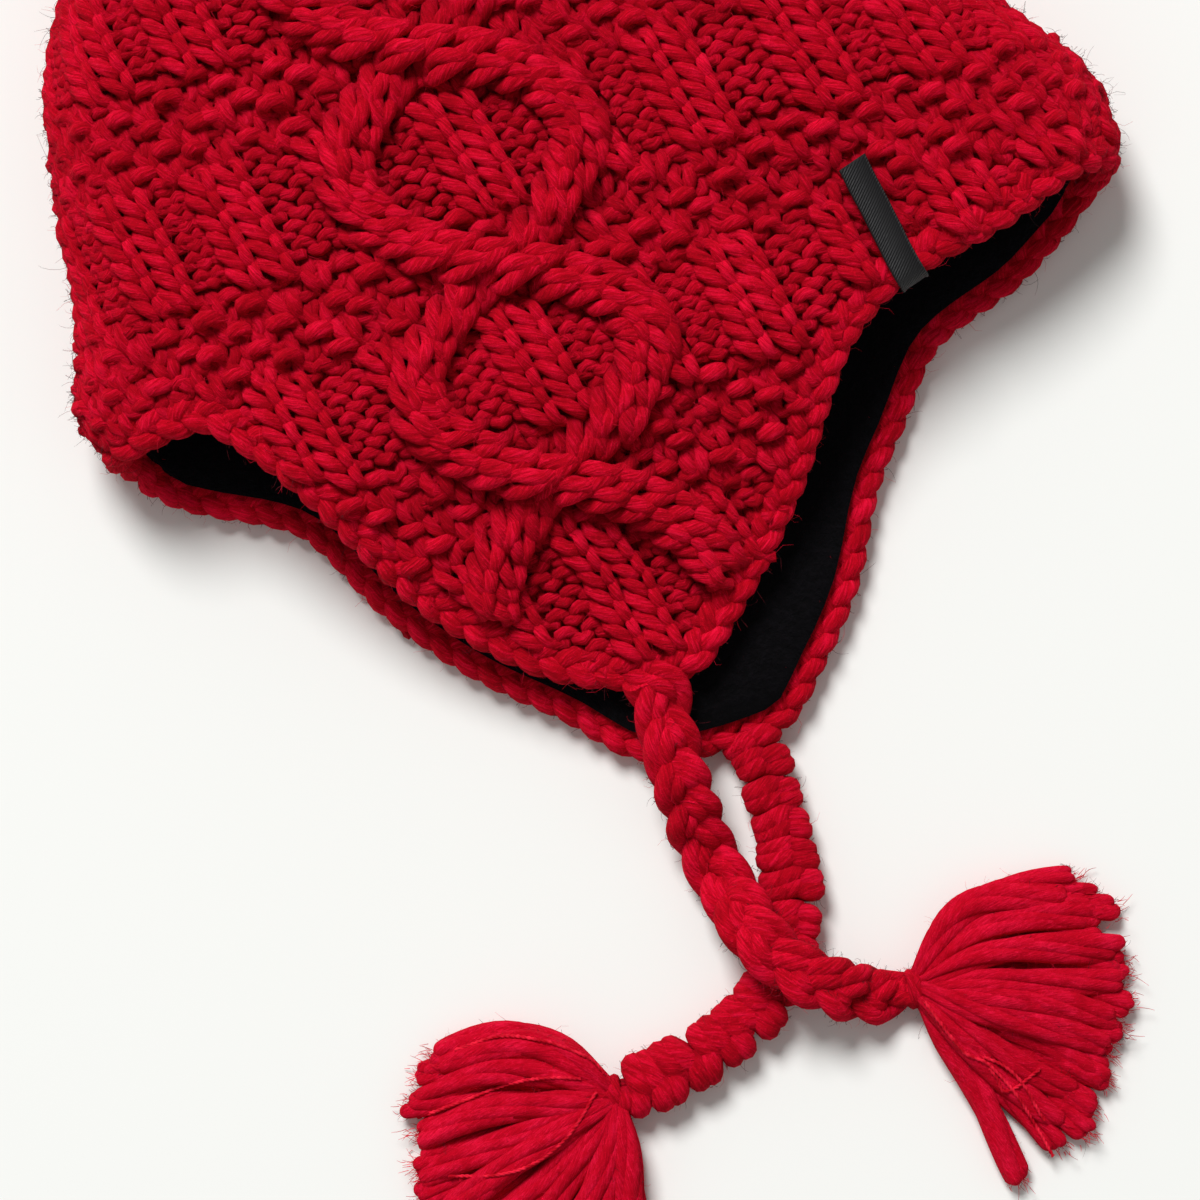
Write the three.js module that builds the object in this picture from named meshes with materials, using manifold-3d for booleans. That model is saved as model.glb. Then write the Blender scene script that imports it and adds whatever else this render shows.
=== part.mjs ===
// Earflap hat in chunky cable knit, lying flat on its side on a table.
// Millimetres. +Z up from the table, +Y from the mouth to the crown, +X from the nape to the forehead.
import * as THREE from "three";
import { mergeVertices } from "three/addons/utils/BufferGeometryUtils.js";
import Module from "manifold-3d";

const wasm = await Module();
wasm.setup();

// Sizes of the flattened hat
const FLAT_WIDTH = 244; // mouth, from the nape fold to the forehead fold
const CROWN_HEIGHT = 176; // mouth line to the gathered top
const UPPER_FLAP_LENGTH = 91; // mouth line to the tip of the flap on top
const LOWER_FLAP_LENGTH = 109; // mouth line to the tip of the flap underneath
const HEAD_ROOM = 15; // air between the two lined layers at the mouth
const ARCH_RISE = 4; // how far the upper layer bows up in the middle
const FLAP_REST_GAP = 1; // air left between the sagging flap and the one below

// Sizes of the fabric
const KNIT_THICKNESS = 7;
const FLEECE_THICKNESS = 2.2;
const SEAT_GAP = 0.3; // between pieces that touch
const ROPE_RISE = 4; // crossed ropes above the ground of the knit
const ROPE_HALF_WIDTH = 8;
const ROPE_SPREAD = 30.5; // middle of the panel to a rope at its widest
const ROPE_REPEAT = 49.4; // one crossing to the next
const ROPE_FIRST_CROSSING = 84.3; // below the mouth line
const RIB_RISE = 2.4;
const RIB_HALF_WIDTH = 6;
const RIB_HALF_LENGTH = 16;
const RIB_LEAN = 0.18; // sideways step for each step up
const GATHER_COUNT = 20;
const GATHER_DEPTH = 1.6;
const CROWN_DIMPLE = 3;

// Sizes of the trim
const EDGING_WIDTH = 7.6;
const EDGING_HEIGHT = 8.6;
const EDGING_GAP = 0.75; // between the edging and the end of the knit
const FLEECE_SETBACK = 1; // fleece edge behind the end of the knit
const LABEL_WIDTH = 7;
const LABEL_THICKNESS = 1;
const LABEL_LENGTH = 27.5; // edge of the flap to the label's upper end
const LABEL_TURN_IN = 9; // length folded to the inner face
const LABEL_GAP = 0.5;

// Sizes of the ties and tassels
const TIE_WIDTH = 14.5;
const TIE_HEIGHT = 9.4;
const BINDING_WIDTH = 11.5;
const BINDING_HEIGHT = 9.6;
const BINDING_LENGTH = 6;
const TASSEL_LENGTH = 50; // waist to the longest yarn ends
const LOCK_WIDTH = 6.8;
const LOCK_HEIGHT = 5.6;

const WALL = KNIT_THICKNESS + SEAT_GAP + FLEECE_THICKNESS;

// Outline of the crown: shares of CROWN_HEIGHT, FLAT_WIDTH and HEAD_ROOM.
// "full" is what is left of the half thickness where the top rounds over.
const CROWN_TABLE = [
  { along: 0.0, height: 0.0, left: 0.488, right: 0.502, room: 1.0, full: 1.0 },
  { along: 0.045, height: 0.06, left: 0.497, right: 0.503, room: 1.03, full: 1.0 },
  { along: 0.1, height: 0.137, left: 0.477, right: 0.477, room: 1.08, full: 1.0 },
  { along: 0.16, height: 0.214, left: 0.462, right: 0.435, room: 1.12, full: 1.0 },
  { along: 0.24, height: 0.32, left: 0.457, right: 0.402, room: 1.16, full: 1.0 },
  { along: 0.33, height: 0.443, left: 0.437, right: 0.372, room: 1.22, full: 1.0 },
  { along: 0.44, height: 0.574, left: 0.394, right: 0.34, room: 1.26, full: 1.0 },
  { along: 0.54, height: 0.693, left: 0.338, right: 0.3, room: 1.26, full: 1.0 },
  { along: 0.64, height: 0.8, left: 0.279, right: 0.25, room: 1.24, full: 0.99 },
  { along: 0.74, height: 0.892, left: 0.207, right: 0.184, room: 1.2, full: 0.96 },
  { along: 0.84, height: 0.952, left: 0.131, right: 0.113, room: 1.2, full: 0.85 },
  { along: 0.93, height: 0.986, left: 0.059, right: 0.047, room: 1.2, full: 0.6 },
  { along: 1.0, height: 1.0, left: 0.006, right: -0.006, room: 1.2, full: 0.0 },
];

// Edge of the upper layer: across as a share of FLAT_WIDTH, depth of UPPER_FLAP_LENGTH
const UPPER_EDGE_TABLE = [
  { across: -0.5, depth: 0.0 },
  { across: -0.477, depth: -0.008 },
  { across: -0.427, depth: 0.021 },
  { across: -0.393, depth: 0.02 },
  { across: -0.348, depth: 0.133 },
  { across: -0.236, depth: 0.682 },
  { across: -0.149, depth: 0.896 },
  { across: -0.094, depth: 0.967 },
  { across: -0.061, depth: 0.989 },
  { across: -0.029, depth: 0.997 },
  { across: 0.045, depth: 0.86 },
  { across: 0.119, depth: 0.66 },
  { across: 0.213, depth: 0.301 },
  { across: 0.258, depth: 0.218 },
  { across: 0.295, depth: 0.184 },
  { across: 0.373, depth: 0.14 },
  { across: 0.488, depth: 0.038 },
  { across: 0.504, depth: 0.03 },
];

// Edge of the lower layer: across as a share of FLAT_WIDTH, depth of LOWER_FLAP_LENGTH
const LOWER_EDGE_TABLE = [
  { across: -0.5, depth: 0.03 },
  { across: -0.483, depth: 0.05 },
  { across: -0.46, depth: 0.112 },
  { across: -0.412, depth: 0.176 },
  { across: -0.334, depth: 0.28 },
  { across: -0.28, depth: 0.514 },
  { across: -0.222, depth: 0.689 },
  { across: -0.15, depth: 0.839 },
  { across: -0.094, depth: 0.965 },
  { across: -0.05, depth: 0.995 },
  { across: -0.005, depth: 1.0 },
  { across: 0.043, depth: 0.994 },
  { across: 0.102, depth: 0.88 },
  { across: 0.151, depth: 0.75 },
  { across: 0.197, depth: 0.565 },
  { across: 0.232, depth: 0.465 },
  { across: 0.291, depth: 0.305 },
  { across: 0.378, depth: 0.232 },
  { across: 0.425, depth: 0.172 },
  { across: 0.46, depth: 0.125 },
  { across: 0.504, depth: 0.07 },
];

// Short raised ribs: across as a share of FLAT_WIDTH, up as a share of ROPE_REPEAT above a crossing
const RIB_TABLE = [
  { across: -0.389, up: 0.5 },
  { across: -0.3, up: 0.5 },
  { across: -0.074, up: 0.5 },
  { across: 0.131, up: 0.5 },
  { across: 0.254, up: 0.5 },
  { across: 0.352, up: 0.5 },
];

// Where the bare label lies: across of FLAT_WIDTH at the flap's edge, and its drift from square
const LABEL_ACROSS = 0.275;
const LABEL_DRIFT = -0.16;
const LABEL_TILT = 0.25; // sideways step for each step down, of the flat place that it makes

// Routes of the ties over the table, from the flap's tip to the tassel's waist
const NEAR_TIE_ROUTE = [
  [-13.8, -90.5, 15.2],
  [-14.9, -100, 15.1],
  [-15.3, -108, 14.9],
  [-15.3, -114, 12.7],
  [-15.1, -120, 8.6],
  [-14.6, -126, 5.6],
  [-13.6, -132, 5.2],
  [-12.2, -138, 8.6],
  [-10.6, -144.5, 13.4],
  [-8.2, -151, 14.9],
  [-4.4, -157.4, 15],
  [0.6, -162.4, 14.2],
  [5.4, -166.2, 11.2],
  [9.6, -168.8, 7.4],
  [13.8, -170.4, 4.9],
  [17.6, -170.9, 4.9],
];
const FAR_TIE_ROUTE = [
  [3.4, -109.6, 4.9],
  [4.2, -116, 4.9],
  [4.1, -122, 4.9],
  [3.5, -130.1, 4.9],
  [2.2, -138.9, 4.9],
  [0, -147.3, 4.9],
  [-5.4, -156.8, 4.9],
  [-12.8, -163.6, 4.9],
  [-22.7, -169, 4.9],
  [-32.7, -171.8, 4.9],
  [-41, -173.3, 4.9],
  [-47.4, -173.7, 4.9],
];

// Locks of the tassels: turn in degrees from +X, reach as a share of TASSEL_LENGTH,
// sway as a sideways bend in shares of the reach
const NEAR_LOCK_TABLE = [
  { turn: 19, reach: 0.88, sway: 0.15 },
  { turn: 13, reach: 0.96, sway: 0.12 },
  { turn: 4, reach: 1.0, sway: 0.07 },
  { turn: -6, reach: 1.03, sway: 0.02 },
  { turn: -16, reach: 1.04, sway: 0.0 },
  { turn: -26, reach: 1.02, sway: -0.02 },
  { turn: -36, reach: 1.02, sway: -0.03 },
  { turn: -46, reach: 1.04, sway: -0.03 },
  { turn: -57, reach: 1.06, sway: -0.02 },
  { turn: -77, reach: 1.0, sway: 0.03 },
];
const FAR_LOCK_TABLE = [
  { turn: 150, reach: 0.86, sway: -0.15 },
  { turn: 159, reach: 0.92, sway: -0.1 },
  { turn: 170, reach: 0.96, sway: -0.05 },
  { turn: 181, reach: 0.98, sway: -0.02 },
  { turn: 193, reach: 1.04, sway: 0.0 },
  { turn: 205, reach: 1.06, sway: 0.02 },
  { turn: 217, reach: 1.02, sway: 0.03 },
  { turn: 229, reach: 1.0, sway: 0.03 },
  { turn: 241, reach: 1.0, sway: 0.04 },
  { turn: 254, reach: 0.96, sway: 0.06 },
];

// Columns of the mesh round the flattened loop, rows from the edge to the gathered top
const UPPER_COLUMNS = 40;
const LOWER_COLUMNS = 28;
const FOLD_COLUMNS = 8;
const ROWS = 26;

const clamp01 = (v) => Math.min(1, Math.max(0, v));
const smooth = (v) => clamp01(v) ** 2 * (3 - 2 * clamp01(v));

// A smooth curve through a table's rows, read at one value of its first column
function lookUp(table, key, at, column) {
  const last = table.length - 1;
  const v = Math.min(table[last][key], Math.max(table[0][key], at));
  let i = 0;
  while (i < last - 1 && table[i + 1][key] < v) i++;
  const step = (n) => table[n + 1][key] - table[n][key];
  const rise = (n) => (table[n + 1][column] - table[n][column]) / step(n);
  const slope = (n) => {
    if (n === 0) return rise(0);
    if (n === last) return rise(last - 1);
    const a = rise(n - 1);
    const b = rise(n);
    if (a * b <= 0) return 0;
    return (2 * a * b) / (a + b);
  };
  const h = step(i);
  const t = (v - table[i][key]) / h;
  const p = table[i][column];
  const q = table[i + 1][column];
  const m = slope(i) * h;
  const n = slope(i + 1) * h;
  return (
    (2 * t ** 3 - 3 * t ** 2 + 1) * p +
    (t ** 3 - 2 * t ** 2 + t) * m +
    (3 * t ** 2 - 2 * t ** 3) * q +
    (t ** 3 - t ** 2) * n
  );
}

// The flattened loop. "around" runs 0 to 4: forehead fold, upper layer, nape fold, lower layer.
// "climb" is the height below the mouth line where negative, and the way up the crown above it.
const CROWN_CLIMB = CROWN_HEIGHT * 1.12;

function loopPoint(around, climb) {
  const along = clamp01(climb / CROWN_CLIMB);
  const left = -FLAT_WIDTH * lookUp(CROWN_TABLE, "along", along, "left");
  const right = FLAT_WIDTH * lookUp(CROWN_TABLE, "along", along, "right");
  const room = HEAD_ROOM * lookUp(CROWN_TABLE, "along", along, "room");
  const full = lookUp(CROWN_TABLE, "along", along, "full");
  const high = (WALL + room / 2) * full;
  const middle = (left + right) / 2;
  const half = Math.max(0.02, (right - left) / 2);
  const bend = Math.min(half, high);
  const flat = half - bend;
  const lift = WALL + (HEAD_ROOM / 2) * Math.min(1.2, room / HEAD_ROOM) - 2.5 * smooth((along - 0.7) / 0.3);
  const centre = Math.max(high, Math.min(lift, high + 40 * clamp01(1 - full)));

  const a = ((around % 4) + 4) % 4;
  const side = Math.floor(a);
  const f = a - side;
  let x;
  let z;
  let turn;
  if (side === 0) {
    const t = -Math.PI / 2 + Math.PI * f;
    x = middle + flat + bend * Math.cos(t);
    z = high * Math.sin(t);
    turn = -30 + 60 * f;
  } else if (side === 1) {
    x = middle + flat * (1 - 2 * f);
    z = high;
    turn = 30 + 120 * f;
  } else if (side === 2) {
    const t = Math.PI / 2 + Math.PI * f;
    x = middle - flat + bend * Math.cos(t);
    z = high * Math.sin(t);
    turn = 150 + 60 * f;
  } else {
    x = middle - flat * (1 - 2 * f);
    z = -high;
    turn = 210 + 120 * f;
  }
  const round = smooth((along - 0.72) / 0.26);
  const r = THREE.MathUtils.degToRad(turn);
  x = x * (1 - round) + (middle + half * Math.cos(r)) * round;
  z = z * (1 - round) + high * Math.sin(r) * round;

  const above = clamp01(z / Math.max(high, 0.01));
  const s = clamp01(Math.abs(x - middle) / half);
  const arch = ARCH_RISE * (1 - s * s) * above * (1 - smooth((along - 0.6) / 0.4));
  const fall = smooth((-climb - 10) / (0.72 * UPPER_FLAP_LENGTH));
  const sag = (HEAD_ROOM - FLAP_REST_GAP + ARCH_RISE * (1 - s * s)) * fall * above;
  const y = climb < 0 ? climb : CROWN_HEIGHT * lookUp(CROWN_TABLE, "along", along, "height");
  return new THREE.Vector3(x, y, centre + z + arch - sag);
}

// Outward direction of the loop, from two short steps over it
function loopNormal(around, climb) {
  if (climb > CROWN_CLIMB * 0.995) return new THREE.Vector3(0, 1, 0);
  const a = loopPoint(around + 0.01, climb).sub(loopPoint(around - 0.01, climb));
  const b = loopPoint(around, climb + 0.5).sub(loopPoint(around, climb - 0.5));
  return b.cross(a).normalize();
}

// A point a depth under the outer face
function under(around, climb, depth) {
  const p = loopPoint(around, climb);
  return p.addScaledVector(loopNormal(around, climb), -depth);
}

// Outline of the fabric's edge, as the climb at which it ends
function edgeClimb(around) {
  const x = loopPoint(around, 0).x / FLAT_WIDTH;
  const up = -UPPER_FLAP_LENGTH * lookUp(UPPER_EDGE_TABLE, "across", x, "depth");
  const low = -LOWER_FLAP_LENGTH * lookUp(LOWER_EDGE_TABLE, "across", x, "depth");
  const a = ((around % 4) + 4) % 4;
  let share = 0;
  if (a < 1) share = smooth((a - 0.35) / 0.65);
  else if (a < 2) share = 1;
  else if (a < 3) share = smooth((2.65 - a) / 0.65);
  return up * share + low * (1 - share);
}

// The edge as a fine run of samples, by length half way through the fabric
function edgeSamples() {
  const count = 640;
  const samples = [];
  let length = 0;
  let before = under(0, 0, WALL / 2);
  for (let i = 0; i <= count; i++) {
    const around = (4 * i) / count;
    const p = under(around, 0, WALL / 2);
    length += p.distanceTo(before);
    before = p;
    samples.push({ around, length, climb: edgeClimb(around) });
  }
  return samples;
}
const EDGE = edgeSamples();
const LOOP_LENGTH = EDGE[EDGE.length - 1].length;

function lengthAt(around) {
  const i = (around / 4) * (EDGE.length - 1);
  const n = Math.min(EDGE.length - 2, Math.floor(i));
  return EDGE[n].length + (EDGE[n + 1].length - EDGE[n].length) * (i - n);
}

function aroundAt(length) {
  const laps = Math.floor(length / LOOP_LENGTH);
  const rest = length - laps * LOOP_LENGTH;
  let n = 0;
  while (n < EDGE.length - 2 && EDGE[n + 1].length < rest) n++;
  const share = (rest - EDGE[n].length) / (EDGE[n + 1].length - EDGE[n].length);
  return 4 * laps + EDGE[n].around + (EDGE[n + 1].around - EDGE[n].around) * share;
}

// The edge moved inwards by a distance, measured square to it
function setBack(length, distance) {
  let climb = -Infinity;
  for (const sample of EDGE) {
    let step = Math.abs(sample.length - length) % LOOP_LENGTH;
    step = Math.min(step, LOOP_LENGTH - step);
    if (step <= distance) {
      climb = Math.max(climb, sample.climb + Math.sqrt(distance ** 2 - step ** 2));
    }
  }
  return climb;
}

// Middle line of the edging where a column meets it, and the way into the fabric from there
function edgeFrame(around) {
  const length = lengthAt(around);
  const climb = setBack(length, EDGING_WIDTH / 2);
  const reach = 3;
  const ahead = setBack(length + reach, EDGING_WIDTH / 2);
  const behind = setBack(length - reach + LOOP_LENGTH, EDGING_WIDTH / 2);
  const slope = (ahead - behind) / (2 * reach);
  const size = Math.hypot(1, slope);
  return { around, length, climb, inLength: -slope / size, inClimb: 1 / size };
}

// A place a distance into the fabric from the middle of the edging
function inFrom(frame, distance, drift = 0) {
  const length = frame.length + frame.inLength * distance + frame.inClimb * drift;
  const climb = frame.climb + frame.inClimb * distance - frame.inLength * drift;
  return { around: aroundAt(length), climb };
}

function columnList() {
  const list = [];
  const counts = [FOLD_COLUMNS, UPPER_COLUMNS, FOLD_COLUMNS, LOWER_COLUMNS];
  counts.forEach((count, side) => {
    for (let i = 0; i < count; i++) list.push(side + i / count);
  });
  return list;
}
const FRAMES = columnList().map(edgeFrame);
const KNIT_START = EDGING_WIDTH / 2 + EDGING_GAP; // from the middle of the edging
const FLEECE_START = KNIT_START + FLEECE_SETBACK;

function labelFoot() {
  const found = EDGE.find((row) => row.around > 1 && loopPoint(row.around, 0).x <= LABEL_ACROSS * FLAT_WIDTH);
  return edgeFrame(found.around);
}
const LABEL_FOOT = labelFoot();

// Raised figure of the knit: crossed ropes, short ribs, gathers at the top
function relief(p, normal, climb, fromEdge) {
  const up = smooth((normal.z + 0.1) / 0.6);
  const along = climb / CROWN_CLIMB;
  const narrow = 1 - smooth((along - 0.45) / 0.5);
  const middle = -0.074 * FLAT_WIDTH;
  const phase = (Math.PI * (p.y + ROPE_FIRST_CROSSING)) / ROPE_REPEAT;
  const spread = ROPE_SPREAD * Math.abs(Math.sin(phase)) ** 0.8 * (0.25 + 0.75 * narrow);
  const gap = Math.min(Math.abs(p.x - middle - spread), Math.abs(p.x - middle + spread));
  const rope = ROPE_RISE * Math.exp(-((gap / ROPE_HALF_WIDTH) ** 2));
  let rib = 0;
  for (const row of RIB_TABLE) {
    for (let k = 0; k < 4; k++) {
      const y = -ROPE_FIRST_CROSSING + ROPE_REPEAT * (k + row.up);
      const x = row.across * FLAT_WIDTH - RIB_LEAN * (p.y - y);
      const dx = (p.x - x) / RIB_HALF_WIDTH;
      const dy = (p.y - y) / RIB_HALF_LENGTH;
      rib = Math.max(rib, RIB_RISE * Math.exp(-(dx ** 2) - dy ** 6));
    }
  }
  const across = p.x - LABEL_ACROSS * FLAT_WIDTH + LABEL_TILT * (p.y - LABEL_FOOT.climb);
  const beside = smooth((Math.abs(across) - 1.15 * LABEL_WIDTH) / LABEL_WIDTH);
  const past = smooth((p.y - LABEL_FOOT.climb - LABEL_LENGTH - 2) / LABEL_WIDTH);
  const clear = Math.max(beside, past);
  const figure = Math.max(rope, rib) * up * clear * smooth((fromEdge - 1) / 8);
  const turn = Math.atan2(p.z - 20, p.x + 0.012 * FLAT_WIDTH);
  const gather = GATHER_DEPTH * Math.cos(GATHER_COUNT * turn) * smooth((along - 0.72) / 0.2);
  const dimple = CROWN_DIMPLE * smooth((along - 0.94) / 0.06);
  return figure * (1 - smooth((along - 0.8) / 0.15)) + gather * clamp01(up + 0.2) * (1 - dimple / 3) - dimple;
}

// A closed geometry from points and faces
function bodyGeometry(points, faces) {
  const geometry = new THREE.BufferGeometry();
  geometry.setAttribute("position", new THREE.Float32BufferAttribute(points.flatMap((p) => [p.x, p.y, p.z]), 3));
  geometry.setIndex(faces);
  return geometry;
}

// One face of the hat as a grid of points from its edge to the top.
// The row at the edge has every column, and the rows above it every "skip"th one.
function gridPoints(skip, trim, place) {
  const rows = ROWS / skip;
  const points = [];
  const lines = [];
  FRAMES.forEach((frame, i) => {
    const first = inFrom(frame, KNIT_START);
    const turns = Math.round((first.around - frame.around) / 4);
    const shift = first.around - 4 * turns - frame.around;
    const run = CROWN_CLIMB - first.climb;
    const at = (j) => {
      const around = frame.around + shift * (1 - j / rows) ** 4;
      return place(around, first.climb + (run * j) / rows, (run * j) / rows);
    };
    const line = [];
    const count = i % skip === 0 ? rows : 1;
    for (let j = 0; j < count; j++) {
      line.push(points.length);
      points.push(at(j));
    }
    points[line[0]].lerp(at(1), ((trim / frame.inClimb) * rows) / run);
    lines.push(line);
  });
  const top = points.length;
  points.push(place(0, CROWN_CLIMB, CROWN_CLIMB));
  return { points, lines, skip, rows, top };
}

function gridFaces(grid, offset, outward) {
  const faces = [];
  const { lines, skip, rows, top } = grid;
  const at = (i, j) => offset + (j === rows ? top : lines[i % lines.length][j]);
  const add = (a, b, c) => (outward ? faces.push(a, b, c) : faces.push(a, c, b));
  for (let i = 0; i < lines.length; i += skip) {
    const next = i + skip;
    for (let k = i; k < next; k++) {
      const above = 2 * (k - i) < skip ? at(i, 1) : at(next, 1);
      add(at(k, 0), above, at(k + 1, 0));
    }
    add(at(i + Math.ceil(skip / 2), 0), at(i, 1), at(next, 1));
    for (let j = 1; j < rows; j++) {
      add(at(i, j), at(i, j + 1), at(next, j));
      if (j < rows - 1) add(at(next, j), at(i, j + 1), at(next, j + 1));
    }
  }
  return faces;
}

// A hollow cap of fabric between an outer and an inner grid, closed by a band at its edge
function capGeometry(outer, inner) {
  const offset = outer.points.length;
  const faces = [...gridFaces(outer, 0, true), ...gridFaces(inner, offset, false)];
  const count = outer.lines.length;
  for (let i = 0; i < count; i++) {
    const n = (i + 1) % count;
    const a = outer.lines[i][0];
    const b = outer.lines[n][0];
    const c = offset + inner.lines[i][0];
    const d = offset + inner.lines[n][0];
    faces.push(a, b, d, a, d, c);
  }
  return bodyGeometry([...outer.points, ...inner.points], faces);
}

function knitShell() {
  const outer = gridPoints(1, 0, (around, climb, fromEdge) => {
    const p = loopPoint(around, climb);
    const normal = loopNormal(around, climb);
    return p.addScaledVector(normal, relief(p, normal, climb, fromEdge));
  });
  const inner = gridPoints(2, 0, (around, climb) => under(around, climb, KNIT_THICKNESS));
  return capGeometry(outer, inner);
}

function fleeceLining() {
  const depth = KNIT_THICKNESS + SEAT_GAP;
  const outer = gridPoints(2, FLEECE_SETBACK, (around, climb) => under(around, climb, depth));
  const inner = gridPoints(2, FLEECE_SETBACK, (around, climb) => under(around, climb, WALL));
  return capGeometry(outer, inner);
}

// Rounded section, as shares of the half width and half height
const SECTION = [
  [1, 0.5],
  [0, 1],
  [-1, 0.5],
  [-1, -0.5],
  [0, -1],
  [1, -0.5],
];

function rimEdging() {
  const points = [];
  for (const frame of FRAMES) {
    for (const [u, v] of SECTION) {
      const place = inFrom(frame, (u * EDGING_WIDTH) / 2);
      points.push(under(place.around, place.climb, WALL / 2 - (v * EDGING_HEIGHT) / 2));
    }
  }
  const faces = [];
  const n = SECTION.length;
  const at = (i, k) => (i % FRAMES.length) * n + (k % n);
  for (let i = 0; i < FRAMES.length; i++) {
    for (let k = 0; k < n; k++) {
      faces.push(at(i, k), at(i + 1, k), at(i, k + 1));
      faces.push(at(i + 1, k), at(i + 1, k + 1), at(i, k + 1));
    }
  }
  return bodyGeometry(points, faces);
}

const TAPE_SECTION = [
  [1, 1],
  [-1, 1],
  [-1, -1],
  [1, -1],
];

// A bar laid through points, with its width level or along a given direction
function laidBar(points, widths, heights, section = SECTION, across = null) {
  const all = [];
  const n = section.length;
  points.forEach((p, i) => {
    const tangent = points[Math.min(i + 1, points.length - 1)].clone().sub(points[Math.max(i - 1, 0)]).normalize();
    const side = across ? across.clone() : new THREE.Vector3(0, 0, 1).cross(tangent).normalize();
    const up = tangent.clone().cross(side).normalize();
    for (const [u, v] of section) {
      all.push(
        p
          .clone()
          .addScaledVector(side, (u * widths[i]) / 2)
          .addScaledVector(up, (v * heights[i]) / 2),
      );
    }
  });
  const faces = [];
  const last = points.length - 1;
  for (let i = 0; i < last; i++) {
    for (let k = 0; k < n; k++) {
      const a = i * n + k;
      const b = i * n + ((k + 1) % n);
      faces.push(a, b, a + n, a + n, b, b + n);
    }
  }
  for (let k = 1; k < n - 1; k++) {
    faces.push(0, k + 1, k);
    faces.push(last * n, last * n + k, last * n + k + 1);
  }
  return bodyGeometry(all, faces);
}

// The label lies on the outer face, turns over the edging and ends on the fleece
function labelTab() {
  const thick = LABEL_THICKNESS / 2 + LABEL_GAP;
  const high = EDGING_HEIGHT / 2 + thick;
  const wide = EDGING_WIDTH / 2 + thick;
  const path = [];
  const lay = (distance, depth) => {
    const place = inFrom(LABEL_FOOT, distance, LABEL_DRIFT * Math.max(0, distance));
    path.push(under(place.around, place.climb, depth));
  };
  const outerRun = LABEL_LENGTH - EDGING_WIDTH / 2;
  for (const share of [1, 0.82, 0.64, 0.46, 0.28, 0.12]) lay(outerRun * share, -thick);
  lay(-0.45 * wide, WALL / 2 - high);
  lay(-wide, WALL / 2 - 0.5 * high);
  lay(-wide, WALL / 2 + 0.5 * high);
  lay(-0.45 * wide, WALL / 2 + high);
  for (const share of [0.3, 0.65, 1]) lay(FLEECE_START + LABEL_TURN_IN * share, WALL + thick);
  const a = inFrom(LABEL_FOOT, 0, -2);
  const b = inFrom(LABEL_FOOT, 0, 2);
  const across = under(a.around, a.climb, WALL / 2).sub(under(b.around, b.climb, WALL / 2));
  const widths = path.map(() => LABEL_WIDTH);
  const heights = path.map(() => LABEL_THICKNESS);
  return laidBar(path, widths, heights, TAPE_SECTION, across.normalize());
}

// A laid cord keeps its width level all the way
class LaidCurve extends THREE.CatmullRomCurve3 {
  computeFrenetFrames(segments) {
    const tangents = [];
    const normals = [];
    const binormals = [];
    for (let i = 0; i <= segments; i++) {
      const tangent = this.getTangentAt(i / segments);
      const side = new THREE.Vector3(0, 0, 1).cross(tangent).normalize();
      tangents.push(tangent);
      normals.push(side);
      binormals.push(tangent.clone().cross(side).normalize());
    }
    return { tangents, normals, binormals };
  }
}

function tieCurve(route) {
  return new LaidCurve(route.map(([x, y, z]) => new THREE.Vector3(x, y, z)));
}

function tieGeometry(route) {
  const curve = tieCurve(route);
  const section = new THREE.Shape();
  const sides = 10;
  for (let i = 0; i < sides; i++) {
    const turn = (2 * Math.PI * (i + 0.5)) / sides;
    const x = (Math.cos(turn) * TIE_WIDTH) / 2;
    const y = (Math.sin(turn) * TIE_HEIGHT) / 2;
    if (i === 0) section.moveTo(x, y);
    else section.lineTo(x, y);
  }
  section.closePath();
  return new THREE.ExtrudeGeometry(section, { steps: 22, extrudePath: curve });
}

function routeEnd(route) {
  const curve = tieCurve(route);
  const heading = curve.getTangentAt(1).setZ(0).normalize();
  return { point: curve.getPointAt(1), heading };
}

// Yarn wound round the waist of a tassel
function bindingGeometry(route) {
  const { point, heading } = routeEnd(route);
  const level = BINDING_HEIGHT / 2 + 0.1;
  const at = (u) => point.clone().setZ(level).addScaledVector(heading, SEAT_GAP + u * BINDING_LENGTH);
  const shares = [0, 0.2, 0.8, 1];
  const points = shares.map(at);
  const swell = [0.86, 1, 1, 0.86];
  return laidBar(
    points,
    swell.map((s) => s * BINDING_WIDTH),
    swell.map((s) => s * BINDING_HEIGHT),
  );
}

// A closed geometry as a solid to join
function solidOf(geometry) {
  const bare = new THREE.BufferGeometry();
  bare.setAttribute("position", geometry.getAttribute("position").clone());
  bare.setIndex(geometry.getIndex());
  const merged = mergeVertices(bare, 1e-4);
  return new wasm.Manifold(
    new wasm.Mesh({
      numProp: 3,
      vertProperties: merged.getAttribute("position").array,
      triVerts: new Uint32Array(merged.getIndex().array),
    }),
  );
}

function geometryOf(solid) {
  const mesh = solid.getMesh();
  const geometry = new THREE.BufferGeometry();
  geometry.setAttribute("position", new THREE.Float32BufferAttribute(mesh.vertProperties, 3));
  geometry.setIndex(Array.from(mesh.triVerts));
  return geometry;
}

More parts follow.
